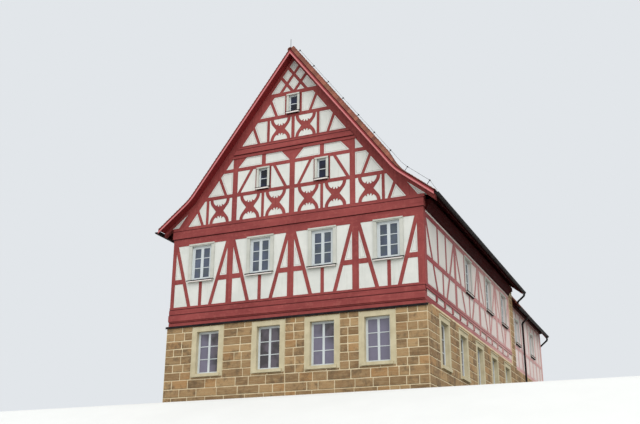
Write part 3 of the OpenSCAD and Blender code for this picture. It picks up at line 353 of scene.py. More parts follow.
# Wine red darkened as painted shade, for the eaves, roof boards and battens seen from below.
SHADED_RED = (rgb(58, 14, 14), rgb(42, 10, 10), rgb(76, 26, 24))
VERGE = (rgb(138, 48, 50), rgb(112, 36, 40), rgb(156, 76, 72))
# Painted highlight for the lit front face of the bargeboards.
LIT_PINK = rgb(200, 120, 120)
# Painted shade for the grooves of the moulded beams.
GROOVE_SHADE = rgb(84, 24, 26)
BOARD_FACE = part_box("bargeboards")[0].y + 0.009


def heights(node, *pairs):
    """Pairs of heights over the foot of a node."""
    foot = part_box(node)[0].z
    return [(foot + low, foot + high) for low, high in pairs]


# Heights of the grooves in the moulded beams that get a line of painted shade.
FRONT_GROOVES = (heights("front_jetty_beams", (0.13, 0.154), (0.452, 0.5), (0.676, 0.718))
                 + heights("tie_beams", (0.316, 0.34), (0.666, 0.702))
                 + heights("attic_beam", (0.115, 0.139), (0.346, 0.392), (0.47, 0.506)))
SIDE_GROOVES = heights("side_jetty_beams", (0.55, 0.58))

MATERIALS = {
    "red_z": painted_timber("red_timber_upright", *RED, ALONG_Z),
    "red_x": painted_timber("red_timber_across", *RED, ALONG_X, grooves=FRONT_GROOVES),
    "side_z": painted_timber("side_timber_upright", *SIDE_RED, ALONG_Z, rear=PALE_RED),
    "side_y": painted_timber("side_timber_along", *SIDE_RED, ALONG_Y, rear=PALE_RED, grooves=SIDE_GROOVES),
    "faded": painted_timber("faded_timber", *FADED, ALONG_Z),
    # Painted light on the bargeboards: the front face is a lit pink, and the other faces keep the deeper
    # verge red, which stands partly for the shade under the tiles.
    "board": painted_timber("verge_board_lit_face", *VERGE, ALONG_Z, front=(BOARD_FACE, LIT_PINK)),
    "painted_shade": painted_timber("eaves_painted_shade", *SHADED_RED, ALONG_Y, gloss=0.05),
    "boards": painted_timber("roof_board_painted_shade", *SHADED_RED, ALONG_Y, gloss=0.05,
                             front=(FRONT_Y + 0.05, VERGE[0])),
    "plaster": lime_plaster("front_plaster", rgb(222, 222, 215), rgb(208, 210, 203)),
    "side_plaster": lime_plaster("side_plaster", rgb(216, 213, 206), rgb(204, 202, 196), rgb(224, 208, 202)),
    "wing_plaster": lime_plaster("wing_plaster", rgb(230, 216, 210), rgb(218, 204, 199)),
    "line": painted_line(),
    "mortar": lime_mortar(),
    "stone": sandstone(),
    "surround": dressed_stone(),
    "white": white_paint(),
    # Painted light: a white lighter than the plaster, for the frieze in the shade of the cornice; the sill
    # fronts use it too.
    "frieze": lime_plaster("frieze_painted_light", rgb(240, 232, 226), rgb(226, 216, 210), rgb(222, 206, 198)),
    "pane": pane(),
    "tile": clay_tile(),
    "zinc": dark_zinc(),
    "lead": lead_sheet(),
    "floor": floor_boards(),
    "door": painted_timber("door_paint", rgb(92, 52, 40), rgb(70, 38, 30), rgb(120, 80, 64), ALONG_Z),
}

NODE_LOOKS = {
    "red_z": ["front_frame", "attic_frame", "top_frame", "apex_lattice", "gable_rafters"],
    "side_z": ["right_frame", "left_frame"],
    "red_x": ["front_jetty_beams", "tie_beams", "attic_beam"],
    "side_y": ["side_jetty_beams"],
    "painted_shade": ["eaves_cornices", "rafter_feet"],
    "board": ["bargeboards"],
    "faded": ["wing_side_frames", "wing_gable_frame"],
    "plaster": ["front_infill", "attic_infill", "top_infill", "apex_infill"],
    "side_plaster": ["right_infill", "left_infill"],
    "wing_plaster": ["wing_side_infill", "wing_gable_infill"],
    "mortar": ["front_stone_wall", "right_stone_wall", "left_stone_wall", "rear_stone_wall",
               "wing_side_walls", "wing_rear_wall"],
    "surround": ["stone_surrounds"],
    "white": ["ground_windows", "upper_windows", "attic_windows", "wing_windows"],
    "pane": ["window_glass"],
    "tile": ["roof_right", "roof_left", "ridge_tiles", "wing_roof_right", "wing_roof_left"],
    "zinc": ["gutters", "downpipes", "lightning_rod"],
    "floor": ["ground_floor", "upper_floor", "attic_floor", "top_floor", "wing_floors"],
    "door": ["entrance_door"],
}


def dress_nodes():
    """Gives every CAD node its material."""
    for look, names in NODE_LOOKS.items():
        for name in names:
            mesh = nodes[name].data
            mesh.materials.clear()
            mesh.materials.append(MATERIALS[look])


# Mesh building

class Pile:
    """Collects closed shapes into one mesh, each with a tone from 0 to 1."""

    def __init__(self):
        self.points = []
        self.faces = []
        self.tones = []

    def add(self, points, faces, tone=0.5):
        start = len(self.points)
        self.points.extend(points)
        self.faces.extend([[start + i for i in face] for face in faces])
        self.tones.extend([tone] * len(faces))

    def box(self, low, high):
        """Box between two corners."""
        corners = [(x, y, z) for z in (low[2], high[2]) for y in (low[1], high[1]) for x in (low[0], high[0])]
        self.add(corners, [[0, 2, 3, 1], [4, 5, 7, 6], [0, 1, 5, 4],
                           [2, 6, 7, 3], [0, 4, 6, 2], [1, 3, 7, 5]])

    def prism(self, outline, near, far, place=lambda x, z, y: (x, y, z), tone=0.5):
        """Outline in x and z carried along y from near to far, or in coordinates that place maps."""
        n = len(outline)
        points = [place(a, b, near) for a, b in outline] + [place(a, b, far) for a, b in outline]
        faces = [list(range(n)), list(range(2 * n - 1, n - 1, -1))]
        faces += [[i, i + n, (i + 1) % n + n, (i + 1) % n] for i in range(n)]
        self.add(points, faces, tone)

    def piece(self, name, material, slot, replaces=()):
        """Turns the shapes into one flat shaded piece of the scene."""
        mesh = bpy.data.meshes.new(name)
        mesh.from_pydata([tuple(p) for p in self.points], [], self.faces)
        tone = mesh.attributes.new("tone", "FLOAT", "FACE")
        tone.data.foreach_set("value", self.tones)
        tidy = bmesh.new()
        tidy.from_mesh(mesh)
        bmesh.ops.recalc_face_normals(tidy, faces=tidy.faces)
        tidy.to_mesh(mesh)
        tidy.free()
        mesh.polygons.foreach_set("use_smooth", [False] * len(mesh.polygons))
        mesh.materials.append(MATERIALS[material])
        piece = bpy.data.objects.new(name, mesh)
        bpy.context.scene.collection.objects.link(piece)
        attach(piece, "root")
        if replaces:
            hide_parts(*replaces)


def on_wall(origin, along, out):
    """Maps (u, z, d) to the frame: u along a wall from its origin, z up, d outwards from its face."""
    origin, along, out = Vector(origin), Vector(along), Vector(out)

    def place(u, z, d):
        return origin + along * u + Vector((0, 0, z)) + out * d
    return place


FRONT_WALL = on_wall((0, STONE_LO.y, 0), (1, 0, 0), (0, -1, 0))
RIGHT_WALL = on_wall((STONE_X, 0, 0), (0, 1, 0), (1, 0, 0))
LEFT_WALL = on_wall((-STONE_X, 0, 0), (0, 1, 0), (-1, 0, 0))
REAR_WALL = on_wall((0, WING_HI.y, 0), (1, 0, 0), (0, 1, 0))


def islands(name):
    """Boxes of the separate solids of a CAD node, as (low, high) pairs."""
    solid = bmesh.new()
    solid.from_mesh(nodes[name].data)
    bmesh.ops.remove_doubles(solid, verts=solid.verts, dist=WELD)
    boxes = []
    seen = set()
    for start in solid.verts:
        if start.index in seen:
            continue
        seen.add(start.index)
        members, todo = [], [start]
        while todo:
            vert = todo.pop()
            members.append(vert.co.copy())
            for edge in vert.link_edges:
                other = edge.other_vert(vert)
                if other.index not in seen:
                    seen.add(other.index)
                    todo.append(other)
        low = Vector([min(c[i] for c in members) for i in range(3)])
        high = Vector([max(c[i] for c in members) for i in range(3)])
        boxes.append((low, high))
    solid.free()
    return boxes


# Sandstone blocks

COURSE_H = 0.32
JOINT = 0.036
LONG_QUOIN = 0.74
SHORT_QUOIN = 0.38
MIN_COURSE = 0.08
MIN_STRETCH = 0.02
LONGEST = 1.15
SPLIT_OVER = 0.75
BLOCK_L = (0.42, 0.95)
PAST_QUOIN = 0.3
CELL = 0.14
ARRIS = 0.016
ROUGH = 0.003
CORNER_WEAR = 0.006


def course_lines(top):
    """Heights of the bed joints, the same on every wall so that they meet at the corners."""
    draw = random.Random(11)
    lines = [0.0]
    while lines[-1] < top - 0.12:
        lines.append(lines[-1] + COURSE_H * draw.uniform(0.88, 1.12))
    return lines


COURSES = course_lines(STONE_TOP * 2.4)


def block(pile, place, u0, u1, z0, z1, draw, tone=None):
    """One block with an uneven face and worn edges, standing a little proud of the mortar."""
    gap = JOINT / 2 * draw.uniform(0.7, 1.2)
    u0, u1, z0, z1 = u0 + gap, u1 - gap, z0 + gap, z1 - gap
    if u1 - u0 < 0.05 or z1 - z0 < 0.04:
        return
    columns = max(3, min(7, round((u1 - u0) / CELL)))
    rows = 4
    edge_u, edge_z = ARRIS / (u1 - u0), ARRIS / (z1 - z0)
    across = [0.0, edge_u] + [k / (columns - 2) for k in range(1, columns - 2)] + [1 - edge_u, 1.0]
    upward = [0.0, edge_z] + [k / (rows - 2) for k in range(1, rows - 2)] + [1 - edge_z, 1.0]
    columns, rows = len(across) - 1, len(upward) - 1
    proud = draw.uniform(0.012, 0.018)
    lean = draw.uniform(-ROUGH, ROUGH)
    points, index = [], {}
    for r in range(rows + 1):
        for c in range(columns + 1):
            edge = r in (0, rows) or c in (0, columns)
            u = u0 + (u1 - u0) * across[c] + (0 if 1 < c < columns - 1 else draw.uniform(-ROUGH, ROUGH))
            z = z0 + (z1 - z0) * upward[r] + (0 if 1 < r < rows - 1 else draw.uniform(-ROUGH, ROUGH))
            if r in (0, rows) and c in (0, columns):
                u += CORNER_WEAR if c == 0 else -CORNER_WEAR
                z += CORNER_WEAR if r == 0 else -CORNER_WEAR
            rise = 0.004 if edge else proud + lean * (across[c] - 0.5) + draw.uniform(-ROUGH, ROUGH)
            index[r, c] = len(points)
            points.append(place(u, z, rise))
    faces = [[index[r, c], index[r, c + 1], index[r + 1, c + 1], index[r + 1, c]]
             for r in range(rows) for c in range(columns)]
    rim = [(0, c) for c in range(columns)] + [(r, columns) for r in range(rows)]
    rim += [(rows, c) for c in range(columns, 0, -1)] + [(r, 0) for r in range(rows, 0, -1)]
    back = len(points)
    points += [place(u0 + (u1 - u0) * across[c], z0 + (z1 - z0) * upward[r], -0.01) for r, c in rim]
    n = len(rim)
    for k in range(n):
        faces.append([index[rim[k]], back + k, back + (k + 1) % n, index[rim[(k + 1) % n]]])
    faces.append([back + k for k in range(n - 1, -1, -1)])
    pile.add(points, faces, draw.random() if tone is None else tone)


def stretch_blocks(pile, place, u0, u1, z0, z1, draw, first=None, last=None):
    """Fills one stretch of a course with blocks of uneven length. first and last are (length, tone)."""
    ends = [u0]
    if first and u1 - u0 > first[0] + PAST_QUOIN:
        ends.append(u0 + first[0])
    stop = u1 - last[0] if last and u1 - ends[-1] > last[0] + PAST_QUOIN else u1
    while stop - ends[-1] > LONGEST:
        ends.append(ends[-1] + draw.uniform(*BLOCK_L))
    if stop - ends[-1] > SPLIT_OVER:
        ends.append(ends[-1] + (stop - ends[-1]) * draw.uniform(0.42, 0.58))
    if stop != u1:
        ends.append(stop)
    ends.append(u1)
    for a, b in zip(ends, ends[1:]):
        tone = first[1] if first and a == u0 else last[1] if last and b == u1 else None
        if b - a > MIN_STRETCH:
            block(pile, place, a, b, z0, z1, draw, tone)


def quoin(corner, course):
    """Length and tone of a course's corner stone, whose other face is on the wall round the corner."""
    if not corner:
        return None
    name, odd = corner
    tone = random.Random(name + str(course)).random()
    return (LONG_QUOIN if course % 2 == odd else SHORT_QUOIN, tone)


def stone_courses(pile, place, u0, u1, top, holes, draw, corners=(None, None)):
    """Courses of blocks between u0 and u1, round holes given as (u0, u1, z0, z1)."""
    for i, (z0, z1) in enumerate(zip(COURSES, COURSES[1:])):
        z1 = min(z1, top)
        if z1 - z0 < MIN_COURSE:
            break
        first, last = quoin(corners[0], i), quoin(corners[1], i)
        free = [(u0, u1)]
        for a, b, low, high in holes:
            if low >= z1 - 0.005 or high <= z0 + 0.005:
                continue
            free = [part for c, d in free for part in ((c, min(d, a)), (max(c, b), d))
                    if part[1] - part[0] > MIN_STRETCH]
            if low - z0 > MIN_COURSE:
                stretch_blocks(pile, place, a, b, z0, low, draw)
            if z1 - high > MIN_COURSE:
                stretch_blocks(pile, place, a, b, high, z1, draw)
        for a, b in free:
            stretch_blocks(pile, place, a, b, z0, z1, draw,
                           first if a == u0 else None, last if b == u1 else None)


def surround_holes(axis, side):
    """Outlines of the stone surrounds on one wall, as (u0, u1, z0, z1)."""
    holes = []
    for low, high in islands("stone_surrounds"):
        if high.x > STONE_X - 0.01:
            wall = "right"
        elif low.x < 0.01 - STONE_X:
            wall = "left"
        else:
            wall = "front"
        if wall == side:
            holes.append((low[axis], high[axis], low.z, high.z))
    return holes


def stone_facing():
    """Blocks over the stone walls, with the CAD walls behind them as the mortar."""
    side_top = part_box("right_stone_wall")[1].z
    draw = random.Random(5)
    front = Pile()
    stone_courses(front, FRONT_WALL, -STONE_X, STONE_X, STONE_TOP, surround_holes(0, "front"), draw,
                  (("front left", 1), ("front right", 0)))
    front.piece("front_stone_blocks", "stone", "stone")
    for name, place, odd in (("right", RIGHT_WALL, 1), ("left", LEFT_WALL, 0)):
        side = Pile()
        stone_courses(side, place, STONE_LO.y, FIRE_LO.y, side_top, surround_holes(1, name), draw,
                      (("front " + name, odd), None))
        side.piece(name + "_stone_blocks", "stone", "stone")
        pier = Pile()
        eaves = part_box("tie_beams")[1].z - 0.5
        stone_courses(pier, place, FIRE_LO.y, FIRE_HI.y, eaves, [], draw)
        pier.piece(name + "_fire_wall_blocks", "stone", "stone")
        base = Pile()
        stone_courses(base, place, FIRE_HI.y, WING_HI.y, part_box("wing_side_walls")[1].z, [], draw,
                      (None, ("rear " + name, 1)))
        base.piece(name + "_wing_blocks", "stone", "stone")
    rear = Pile()
    stone_courses(rear, REAR_WALL, -STONE_X, STONE_X, WING_HI.z, [], draw,
                  (("rear left", 0), ("rear right", 0)))
    rear.piece("rear_wing_blocks", "stone", "stone")


# Glazing bars

BAR_W = 0.03
BAR_DEEP = 0.03
TALL_LIGHT = 1.15


def glazing_bars():
    """White bars over each pane: three lights high in the tall windows, two in the small ones."""
    bars = Pile()
    for low, high in islands("window_glass"):
        across = 0 if high.x - low.x > high.y - low.y else 1
        thin = 1 - across
        height = high.z - low.z
        lights = 3 if height > TALL_LIGHT else 2
        for k in range(1, lights):
            z = low.z + height * k / lights
            a, b = Vector(low), Vector(high)
            a.z, b.z = z - BAR_W / 2, z + BAR_W / 2
            a[thin] -= BAR_DEEP / 2
            b[thin] += BAR_DEEP / 2
            bars.box(a, b)
    bars.piece("glazing_bars", "white", "window_frame")


# Lines painted on the plaster, and the lead over the stone

LINE_IN = 0.045
LINE_W = 0.014
LINE_T = 0.0015


def loops_facing(name, out):
    """Outlines of a node's faces that look outwards, each as points in order without those in line."""
    solid = bmesh.new()
    solid.from_mesh(nodes[name].data)
    bmesh.ops.remove_doubles(solid, verts=solid.verts, dist=WELD)
    faces = [face for face in solid.faces if face.normal.dot(out) > 0.99]
    level = max(face.calc_center_median().dot(out) for face in faces)
    faces = {face for face in faces if face.calc_center_median().dot(out) > level - 0.002}
    onward = {}
    for face in (face for face in solid.faces if face in faces):
        for loop in face.loops:
            if sum(1 for other in loop.edge.link_faces if other in faces) == 1:
                onward.setdefault(loop.vert.index, []).append(loop.link_loop_next.vert.index)
    places = {vert.index: vert.co.copy() for vert in solid.verts}
    solid.free()
    outlines = []
    while onward:
        start = next(iter(onward))
        loop, at = [], start
        while at in onward:
            loop.append(places[at])
            after = onward[at].pop()
            if not onward[at]:
                del onward[at]
            at = after
        straight = [p for before, p, after in zip(loop[-1:] + loop[:-1], loop, loop[1:] + loop[:1])
                    if (p - before).normalized().cross((after - p).normalized()).length > 0.01]
        outlines.append(straight)
    return outlines


def inset(outline, out, distance):
    """Outline moved inwards, or None where it isn't convex or gets too small."""
    n = len(outline)
    edges = [(outline[(i + 1) % n] - outline[i]).normalized() for i in range(n)]
    inward = [out.cross(edge) for edge in edges]
    moved = []
    for i in range(n):
        turn = edges[i - 1].cross(edges[i]).dot(out)
        if turn < 0.05:
            return None
        step = (inward[i - 1] + inward[i]) * (distance / (1 + inward[i - 1].dot(inward[i])))
        moved.append(outline[i] + step)
    for i in range(n):
        if (moved[(i + 1) % n] - moved[i]).dot(edges[i]) < 0.08:
            return None
    return moved


def panel_lines():
    """A thin painted line inside the edge of every straight-sided panel of plaster."""
    sides = {"front_infill": [(0, -1, 0)], "attic_infill": [(0, -1, 0)], "top_infill": [(0, -1, 0)],
             "apex_infill": [(0, -1, 0)], "right_infill": [(1, 0, 0)], "left_infill": [(-1, 0, 0)],
             "wing_side_infill": [(1, 0, 0), (-1, 0, 0)], "wing_gable_infill": [(0, 1, 0)]}
    lines = Pile()
    for name, directions in sides.items():
        for out in map(Vector, directions):
            for outline in loops_facing(name, out):
                outer, inner = (inset(outline, out, d) for d in (LINE_IN, LINE_IN + LINE_W))
                if not outer or not inner:
                    continue
                n = len(outline)
                points = [p + out * t for t in (LINE_T, -LINE_T) for ring in (outer, inner) for p in ring]
                faces = []
                for i in range(n):
                    j = (i + 1) % n
                    faces += [[i, j, n + j, n + i], [2 * n + i, 3 * n + i, 3 * n + j, 2 * n + j],
                              [i, 2 * n + i, 2 * n + j, j], [n + i, n + j, 3 * n + j, 3 * n + i]]
                lines.add(points, faces)
    lines.piece("panel_lines", "line", "plaster")


def lead_drip():
    """Lead sheet on top of the front wall, turned down over the stone with a drip edge."""
    profile = [(-0.05, 0.0), (0.036, 0.0), (0.046, -0.004), (0.05, -0.074), (0.066, -0.09), (0.062, -0.094),
               (0.044, -0.078), (0.041, -0.008), (0.036, -0.004), (-0.05, -0.004)]
    drip = Pile()
    reach = STONE_X + 0.05
    lengths = 8
    lap = 0.03
    for k in range(lengths):
        a = -reach + 2 * reach * k / lengths
        b = -reach + 2 * reach * (k + 1) / lengths + (lap if k < lengths - 1 else 0)
        raised = 0.0015 * (k % 2)
        drip.prism([(d + raised, z + STONE_TOP + 0.004) for d, z in profile], a, b,
                   lambda d, z, u: FRONT_WALL(u, z, d))
    drip.piece("front_lead_drip", "lead", "gutter")


# Sills, casing strips, and the frieze under the eaves, with painted shade and painted light

SILL_BOARD_H = 0.08
SILL_PROUD = 0.012
SILL_SHEET_T = 0.004
SHEET_EDGE = 0.034
ATTIC_EDGE_SHARE = 0.6
SHEET_PAST = 0.03
FRONT_IN = 0.02
UNDER_T = 0.03
CASING_STRIP_W = (0.009, 0.016)
FRIEZE_BOARDS = 5
PLATE_H = 0.18
FRIEZE_H = 0.08


def casings(name):
    """The solids of a window node that hold a casing, as (low, high, axis along the wall)."""
    for low, high in islands(name):
        beyond = low.y < FRONT_Y - 0.03 or high.x > HALF_W + 0.01 or low.x < -HALF_W - 0.01
        if beyond and high.z - low.z > 0.5:
            yield low, high, 0 if low.y < FRONT_Y - 0.03 else 1


def sills():
    """Dark sheet over each sill board, turned down along its edge, and the board's white front under it.

    On the long sides a dark strip under each sill is painted shadow, which shows from below.
    """
    sheets, fronts = Pile(), Pile()

    def strip(pile, along, span, out, z0, z1):
        a, b = Vector((0, 0, z0)), Vector((0, 0, z1))
        a[along], b[along] = span
        a[1 - along], b[1 - along] = sorted(out)
        pile.box(a, b)

    for name in ("upper_windows", "attic_windows", "wing_windows"):
        for low, high, along in casings(name):
            side = -1 if along == 0 or low.x < 0 else 1
            face = FRONT_Y if along == 0 else side * HALF_W
            nose = low.y if along == 0 else (high.x if side > 0 else low.x)
            top = low.z + SILL_BOARD_H
            span = (low[along] - SHEET_PAST, high[along] + SHEET_PAST)
            edge = nose + side * SILL_PROUD
            strip(sheets, along, span, (face, edge), top, top + SILL_SHEET_T)
            turned = SHEET_EDGE * (ATTIC_EDGE_SHARE if name == "attic_windows" else 1.0)
            strip(sheets, along, span, (nose, edge), top - turned, top)
            inner = (low[along] + FRONT_IN, high[along] - FRONT_IN)
            strip(fronts, along, inner, (nose, nose + side * 0.004), low.z + 0.004, top - turned)
            if along == 1:
                # Painted shadow under the sills of the long sides.
                strip(sheets, along, (low[1] + 0.01, high[1] - 0.01), (face, nose), low.z - UNDER_T, low.z)
    sheets.piece("sill_sheets_and_shade", "lead", "gutter")
    fronts.piece("sill_fronts", "frieze", "window_frame")


def casing_edges():
    """Dark strips along both sides of the attic casings, and under their sills. The wider strip on the right
    and the one under each sill are painted shade.
    """
    strips = Pile()
    for low, high, _ in casings("attic_windows"):
        for a, b in ((low.x - CASING_STRIP_W[0], low.x), (high.x, high.x + CASING_STRIP_W[1])):
            strips.box((a, FRONT_Y - 0.04, low.z + 0.086), (b, FRONT_Y - 0.002, high.z - 0.004))
        strips.box((low.x + 0.04, low.y + 0.01, low.z - 0.01), (high.x - 0.04, FRONT_Y - 0.002, low.z))
    strips.piece("attic_casing_shade_strips", "painted_shade", "timber")


def friezes():
    """Pale board between the wall plate and the cornice on both long sides, painted lighter than the plaster
    as painted light in the shade of the cornice.
    """
    boards = Pile()
    plate_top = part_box("tie_beams")[0].z + PLATE_H
    cornice = plate_top + FRIEZE_H
    start, length = FRONT_Y + 0.28, FIRE_LO.y - FRONT_Y - 0.3
    for side in (-1, 1):
        a, b = sorted((side * (HALF_W - 0.02), side * (HALF_W + 0.014)))
        for k in range(FRIEZE_BOARDS):
            y0 = start + length * k / FRIEZE_BOARDS
            y1 = start + length * (k + 1) / FRIEZE_BOARDS - 0.006
            boards.box((a, y0, plate_top + 0.004), (b, y1, cornice - 0.002))
    boards.piece("eaves_friezes", "frieze", "window_frame")


# Gutter fittings

BEAD_R = 0.008
CAP_STEPS = 16
BRACKET_PITCH = 0.8
BRACKET_HALF = 0.014
BRACKET_ARC = (-172, -22)
JOINT_PITCH = 3.0
JOINT_HALF = 0.02
JOINT_ARC = (-176, -14)
SHEET_T = 0.0015
SHEET_IN = 0.03
SHEET_UP = 0.045
SHEET_BACK = 0.05


def arc_strip(pile, cx, cz, side, y0, y1, r0, r1, start, stop, steps=14):
    """Part of a ring between two radii, drawn in x and z, from y0 to y1. Angles in degrees."""
    outline = []
    for r, order in ((r0, range(steps + 1)), (r1, range(steps, -1, -1))):
        for i in order:
            a = math.radians(start + (stop - start) * i / steps)
            outline.append((cx + side * r * math.cos(a), cz + r * math.sin(a)))
    pile.prism(outline, y0, y1)


def tube_along(pile, x, z, r, y0, y1, sides=10):
    """Round rod along y."""
    outline = [(x + r * math.cos(2 * math.pi * k / sides), z + r * math.sin(2 * math.pi * k / sides))
               for k in range(sides)]
    pile.prism(outline, y0, y1)


def gutter_fittings():
    """Beads, end caps, joints, brackets and eaves sheets, from the box of each gutter."""
    beads, brackets, sheets = Pile(), Pile(), Pile()
    for low, high in islands("gutters"):
        side = 1 if low.x > 0 else -1
        r = (high.x - low.x) / 2
        cx, rim = (low.x + high.x) / 2, high.z
        tube_along(beads, cx + side * (r - BEAD_R), rim, BEAD_R, low.y, high.y)
        for y in (low.y - 0.002, high.y - 0.001):
            fan = [(cx + r * math.cos(a), rim + r * math.sin(a))
                   for a in np.linspace(math.pi, 2 * math.pi, CAP_STEPS + 1)]
            beads.prism(fan, y, y + 0.003)
        count = round((high.y - low.y) / BRACKET_PITCH)
        for k in range(count):
            y = low.y + (k + 0.5) * (high.y - low.y) / count
            arc_strip(brackets, cx, rim, side, y - BRACKET_HALF, y + BRACKET_HALF,
                      r + 0.0005, r + 0.005, *BRACKET_ARC)
        joints = round((high.y - low.y) / JOINT_PITCH)
        for k in range(1, joints):
            y = low.y + k * (high.y - low.y) / joints
            arc_strip(beads, cx, rim, side, y - JOINT_HALF, y + JOINT_HALF, r, r + 0.002, *JOINT_ARC)
        inner, foot, top = cx - side * (r - SHEET_IN), rim - SHEET_IN, rim + SHEET_UP
        sheets.prism([(inner, foot), (inner + side * SHEET_T, foot), (inner - side * SHEET_BACK, top),
                      (inner - side * (SHEET_BACK + SHEET_T), top)], low.y + 0.01, high.y - 0.01)
    beads.piece("gutter_beads", "zinc", "gutter")
    brackets.piece("gutter_brackets", "zinc", "gutter")
    sheets.piece("eaves_sheets", "zinc", "gutter")


# Roof covering. PITCH and FLARE are the rise over the run of the steep and the flat part.

PITCH = 1.345
FLARE = 0.8
FLARE_R = 2.5
FLARE_STEPS = 8
ROOF_T = 0.09
TILE_W = 0.175
TILE_STEP = 0.155
TILE_L = 0.23
TILE_T = 0.014
TILE_GAP = 0.004
TILE_TILT = 2.2 * TILE_T
TILE_TAIL = [(-0.5, 0.036), (-0.3, 0.011), (0.0, 0.0), (0.3, 0.011), (0.5, 0.036)]
EAVES_HANG = 0.03
VERGE_RISE = 0.15
VERGE_RUN = 0.7
VERGE_FADE = 1.0
BED_STEPS = 6
BOARD_W = 0.16
BOARD_T = 0.024
BOARD_GAP = 0.004
RIDGE_CAP_L = 0.36
RIDGE_CAP_LAP = 0.05
RIDGE_CAP_R = (0.110, 0.096)
RIDGE_CAP_T = 0.014
RIDGE_CAP_STEPS = 12
WIRE_H = 0.26
WIRE_HALF = 0.005
WIRE_IN = 0.3
HOLDERS = 9


class RoofLine:
    """Top line of a roof slope from the eaves to the ridge, by distance along it."""

    def __init__(self, node, flared):
        low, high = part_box(node)
        self.out = high.x if high.x > 0.1 else -low.x
        self.y0, self.y1 = low.y, high.y
        steep = math.atan(PITCH)
        ridge = high.z - ROOF_T / math.cos(steep)
        if flared:
            flat = math.atan(FLARE)
            kink_x = (ridge - low.z - FLARE * self.out) / (PITCH - FLARE)
            kink_z = ridge - PITCH * kink_x
            run = FLARE_R * math.tan((steep - flat) / 2)
            cx = kink_x + run * math.cos(flat) + FLARE_R * math.sin(flat)
            cz = kink_z - run * math.sin(flat) + FLARE_R * math.cos(flat)
            bend = [(cx - (FLARE_R - ROOF_T) * math.sin(a), cz - (FLARE_R - ROOF_T) * math.cos(a))
                    for a in np.linspace(flat, steep, FLARE_STEPS + 1)]
            points = [(self.out, low.z + ROOF_T / math.cos(flat))] + bend
        else:
            points = [(self.out, low.z + ROOF_T / math.cos(steep))]
        points.append((0.0, high.z))
        self.points = np.array(points)
        steps = np.hypot(*np.diff(self.points, axis=0).T)
        self.at = np.concatenate([[0], np.cumsum(steps)])
        self.length = self.at[-1]

    def point(self, s, lift):
        """(x, z) at a distance s from the eaves, raised square to the slope."""
        x = np.interp(s, self.at, self.points[:, 0])
        z = np.interp(s, self.at, self.points[:, 1])
        i = min(max(int(np.searchsorted(self.at, s, side="right")) - 1, 0), len(self.at) - 2)
        dx, dz = (self.points[i + 1] - self.points[i]) / (self.at[i + 1] - self.at[i])
        if s < 0:
            x, z = x + dx * s, z + dz * s
        return x + dz * lift, z - dx * lift

    def raised(self, y, s):
        """How far the right slope's covering swells towards the front verge, above the flare."""
        along = min(max((s - self.at[1]) / VERGE_FADE, 0.0), 1.0)
        return VERGE_RISE * along * max(0.0, 1 - (y - self.y0) / VERGE_RUN) ** 2


def roof_tiles(name, node, side, flared):
    """Plain tiles with rounded tails in courses that break joint, over battens and boards."""
    line = RoofLine(node, flared)
    draw = random.Random(name)
    swells = flared and side == 1
    tiles = Pile()
    courses = int((line.length - 0.05) / TILE_STEP)
    count = round((line.y1 - line.y0) / TILE_W)
    width = (line.y1 - line.y0) / count
    for j in range(courses + 1):
        s0 = j * TILE_STEP - EAVES_HANG
        edges = [line.y0 + k * width for k in range(count + 1)]
        if j % 2:
            edges = [line.y0] + [y + width / 2 for y in edges[:-1]] + [line.y1]
        for a, b in zip(edges, edges[1:]):
            middle, w = (a + b) / 2, (b - a) - TILE_GAP
            lift = draw.uniform(0.0, 0.004)
            slip = draw.uniform(-0.004, 0.004)
            top = min(s0 + TILE_L, line.length - 0.01)
            outline = [(middle + w * u, s0 + v + slip) for u, v in TILE_TAIL]
            outline += [(middle + w / 2, top), (middle - w / 2, top)]

            def place(y, s, t):
                rise = TILE_TILT * (1 - (s - s0) / TILE_L) + lift + t
                if swells:
                    rise += line.raised(y, s)
                x, z = line.point(s, rise)
                return (side * x, y, z)

            tiles.prism(outline, 0.0, TILE_T, place, draw.random())
    tiles.piece(name + "_tiles", "tile", "tile", replaces=[node])
    return line


def verge_bed(line):
    """Short tiles bedded under the raised verge of the right slope, one to a course."""
    bed = Pile()
    draw = random.Random("verge bed")
    ys = [line.y0 + 0.004 + VERGE_RUN * k / BED_STEPS for k in range(BED_STEPS + 1)]
    outline = [(ys[-1], 0), (ys[0], 0)] + [(y, 1) for y in ys]

    def place(y, upper, s):
        x, z = line.point(s, line.raised(y, s) + 0.001 if upper else -0.001)
        return (x, y, z)

    s = line.at[1]
    while s < line.length - 0.05:
        bed.prism(outline, s, min(s + TILE_STEP - 0.004, line.length - 0.01), place, draw.random())
        s += TILE_STEP
    bed.piece("verge_bed", "tile", "tile")


def roof_boards(name, line, side):
    """Boards under the tiles, seen from below at the eaves and verges, with battens over them."""
    boards = Pile()
    draw = random.Random(name + "boards")
    s = 0.0
    while s < line.length - 0.02:
        end = min(s + BOARD_W - BOARD_GAP, line.length - 0.005)
        low = draw.uniform(0, 0.003)
        under, over = -ROOF_T + low, -ROOF_T + BOARD_T
        outline = [line.point(a, lift) for a, lift in ((s, under), (end, under), (end, over), (s, over))]
        boards.prism([(side * x, z) for x, z in outline], line.y0 + 0.001, line.y1 - 0.001,
                     tone=draw.random())
        s += BOARD_W
    # The boards are darkened as painted shade, except at the front verge, which keeps the red of the verge.
    boards.piece(name + "_boards", "boards", "timber")
    battens = Pile()
    samples = sorted(set([0.0, line.length - 0.01] + [a for a in line.at if 0 < a < line.length - 0.01]))
    below = [line.point(a, -ROOF_T + BOARD_T + 0.001) for a in samples]
    above = [line.point(a, -0.002) for a in samples]
    outline = [(side * x, z) for x, z in below + above[::-1]]
    battens.prism(outline, line.y0 + 0.004, line.y1 - 0.004)
    battens.piece(name + "_battens", "painted_shade", "timber")


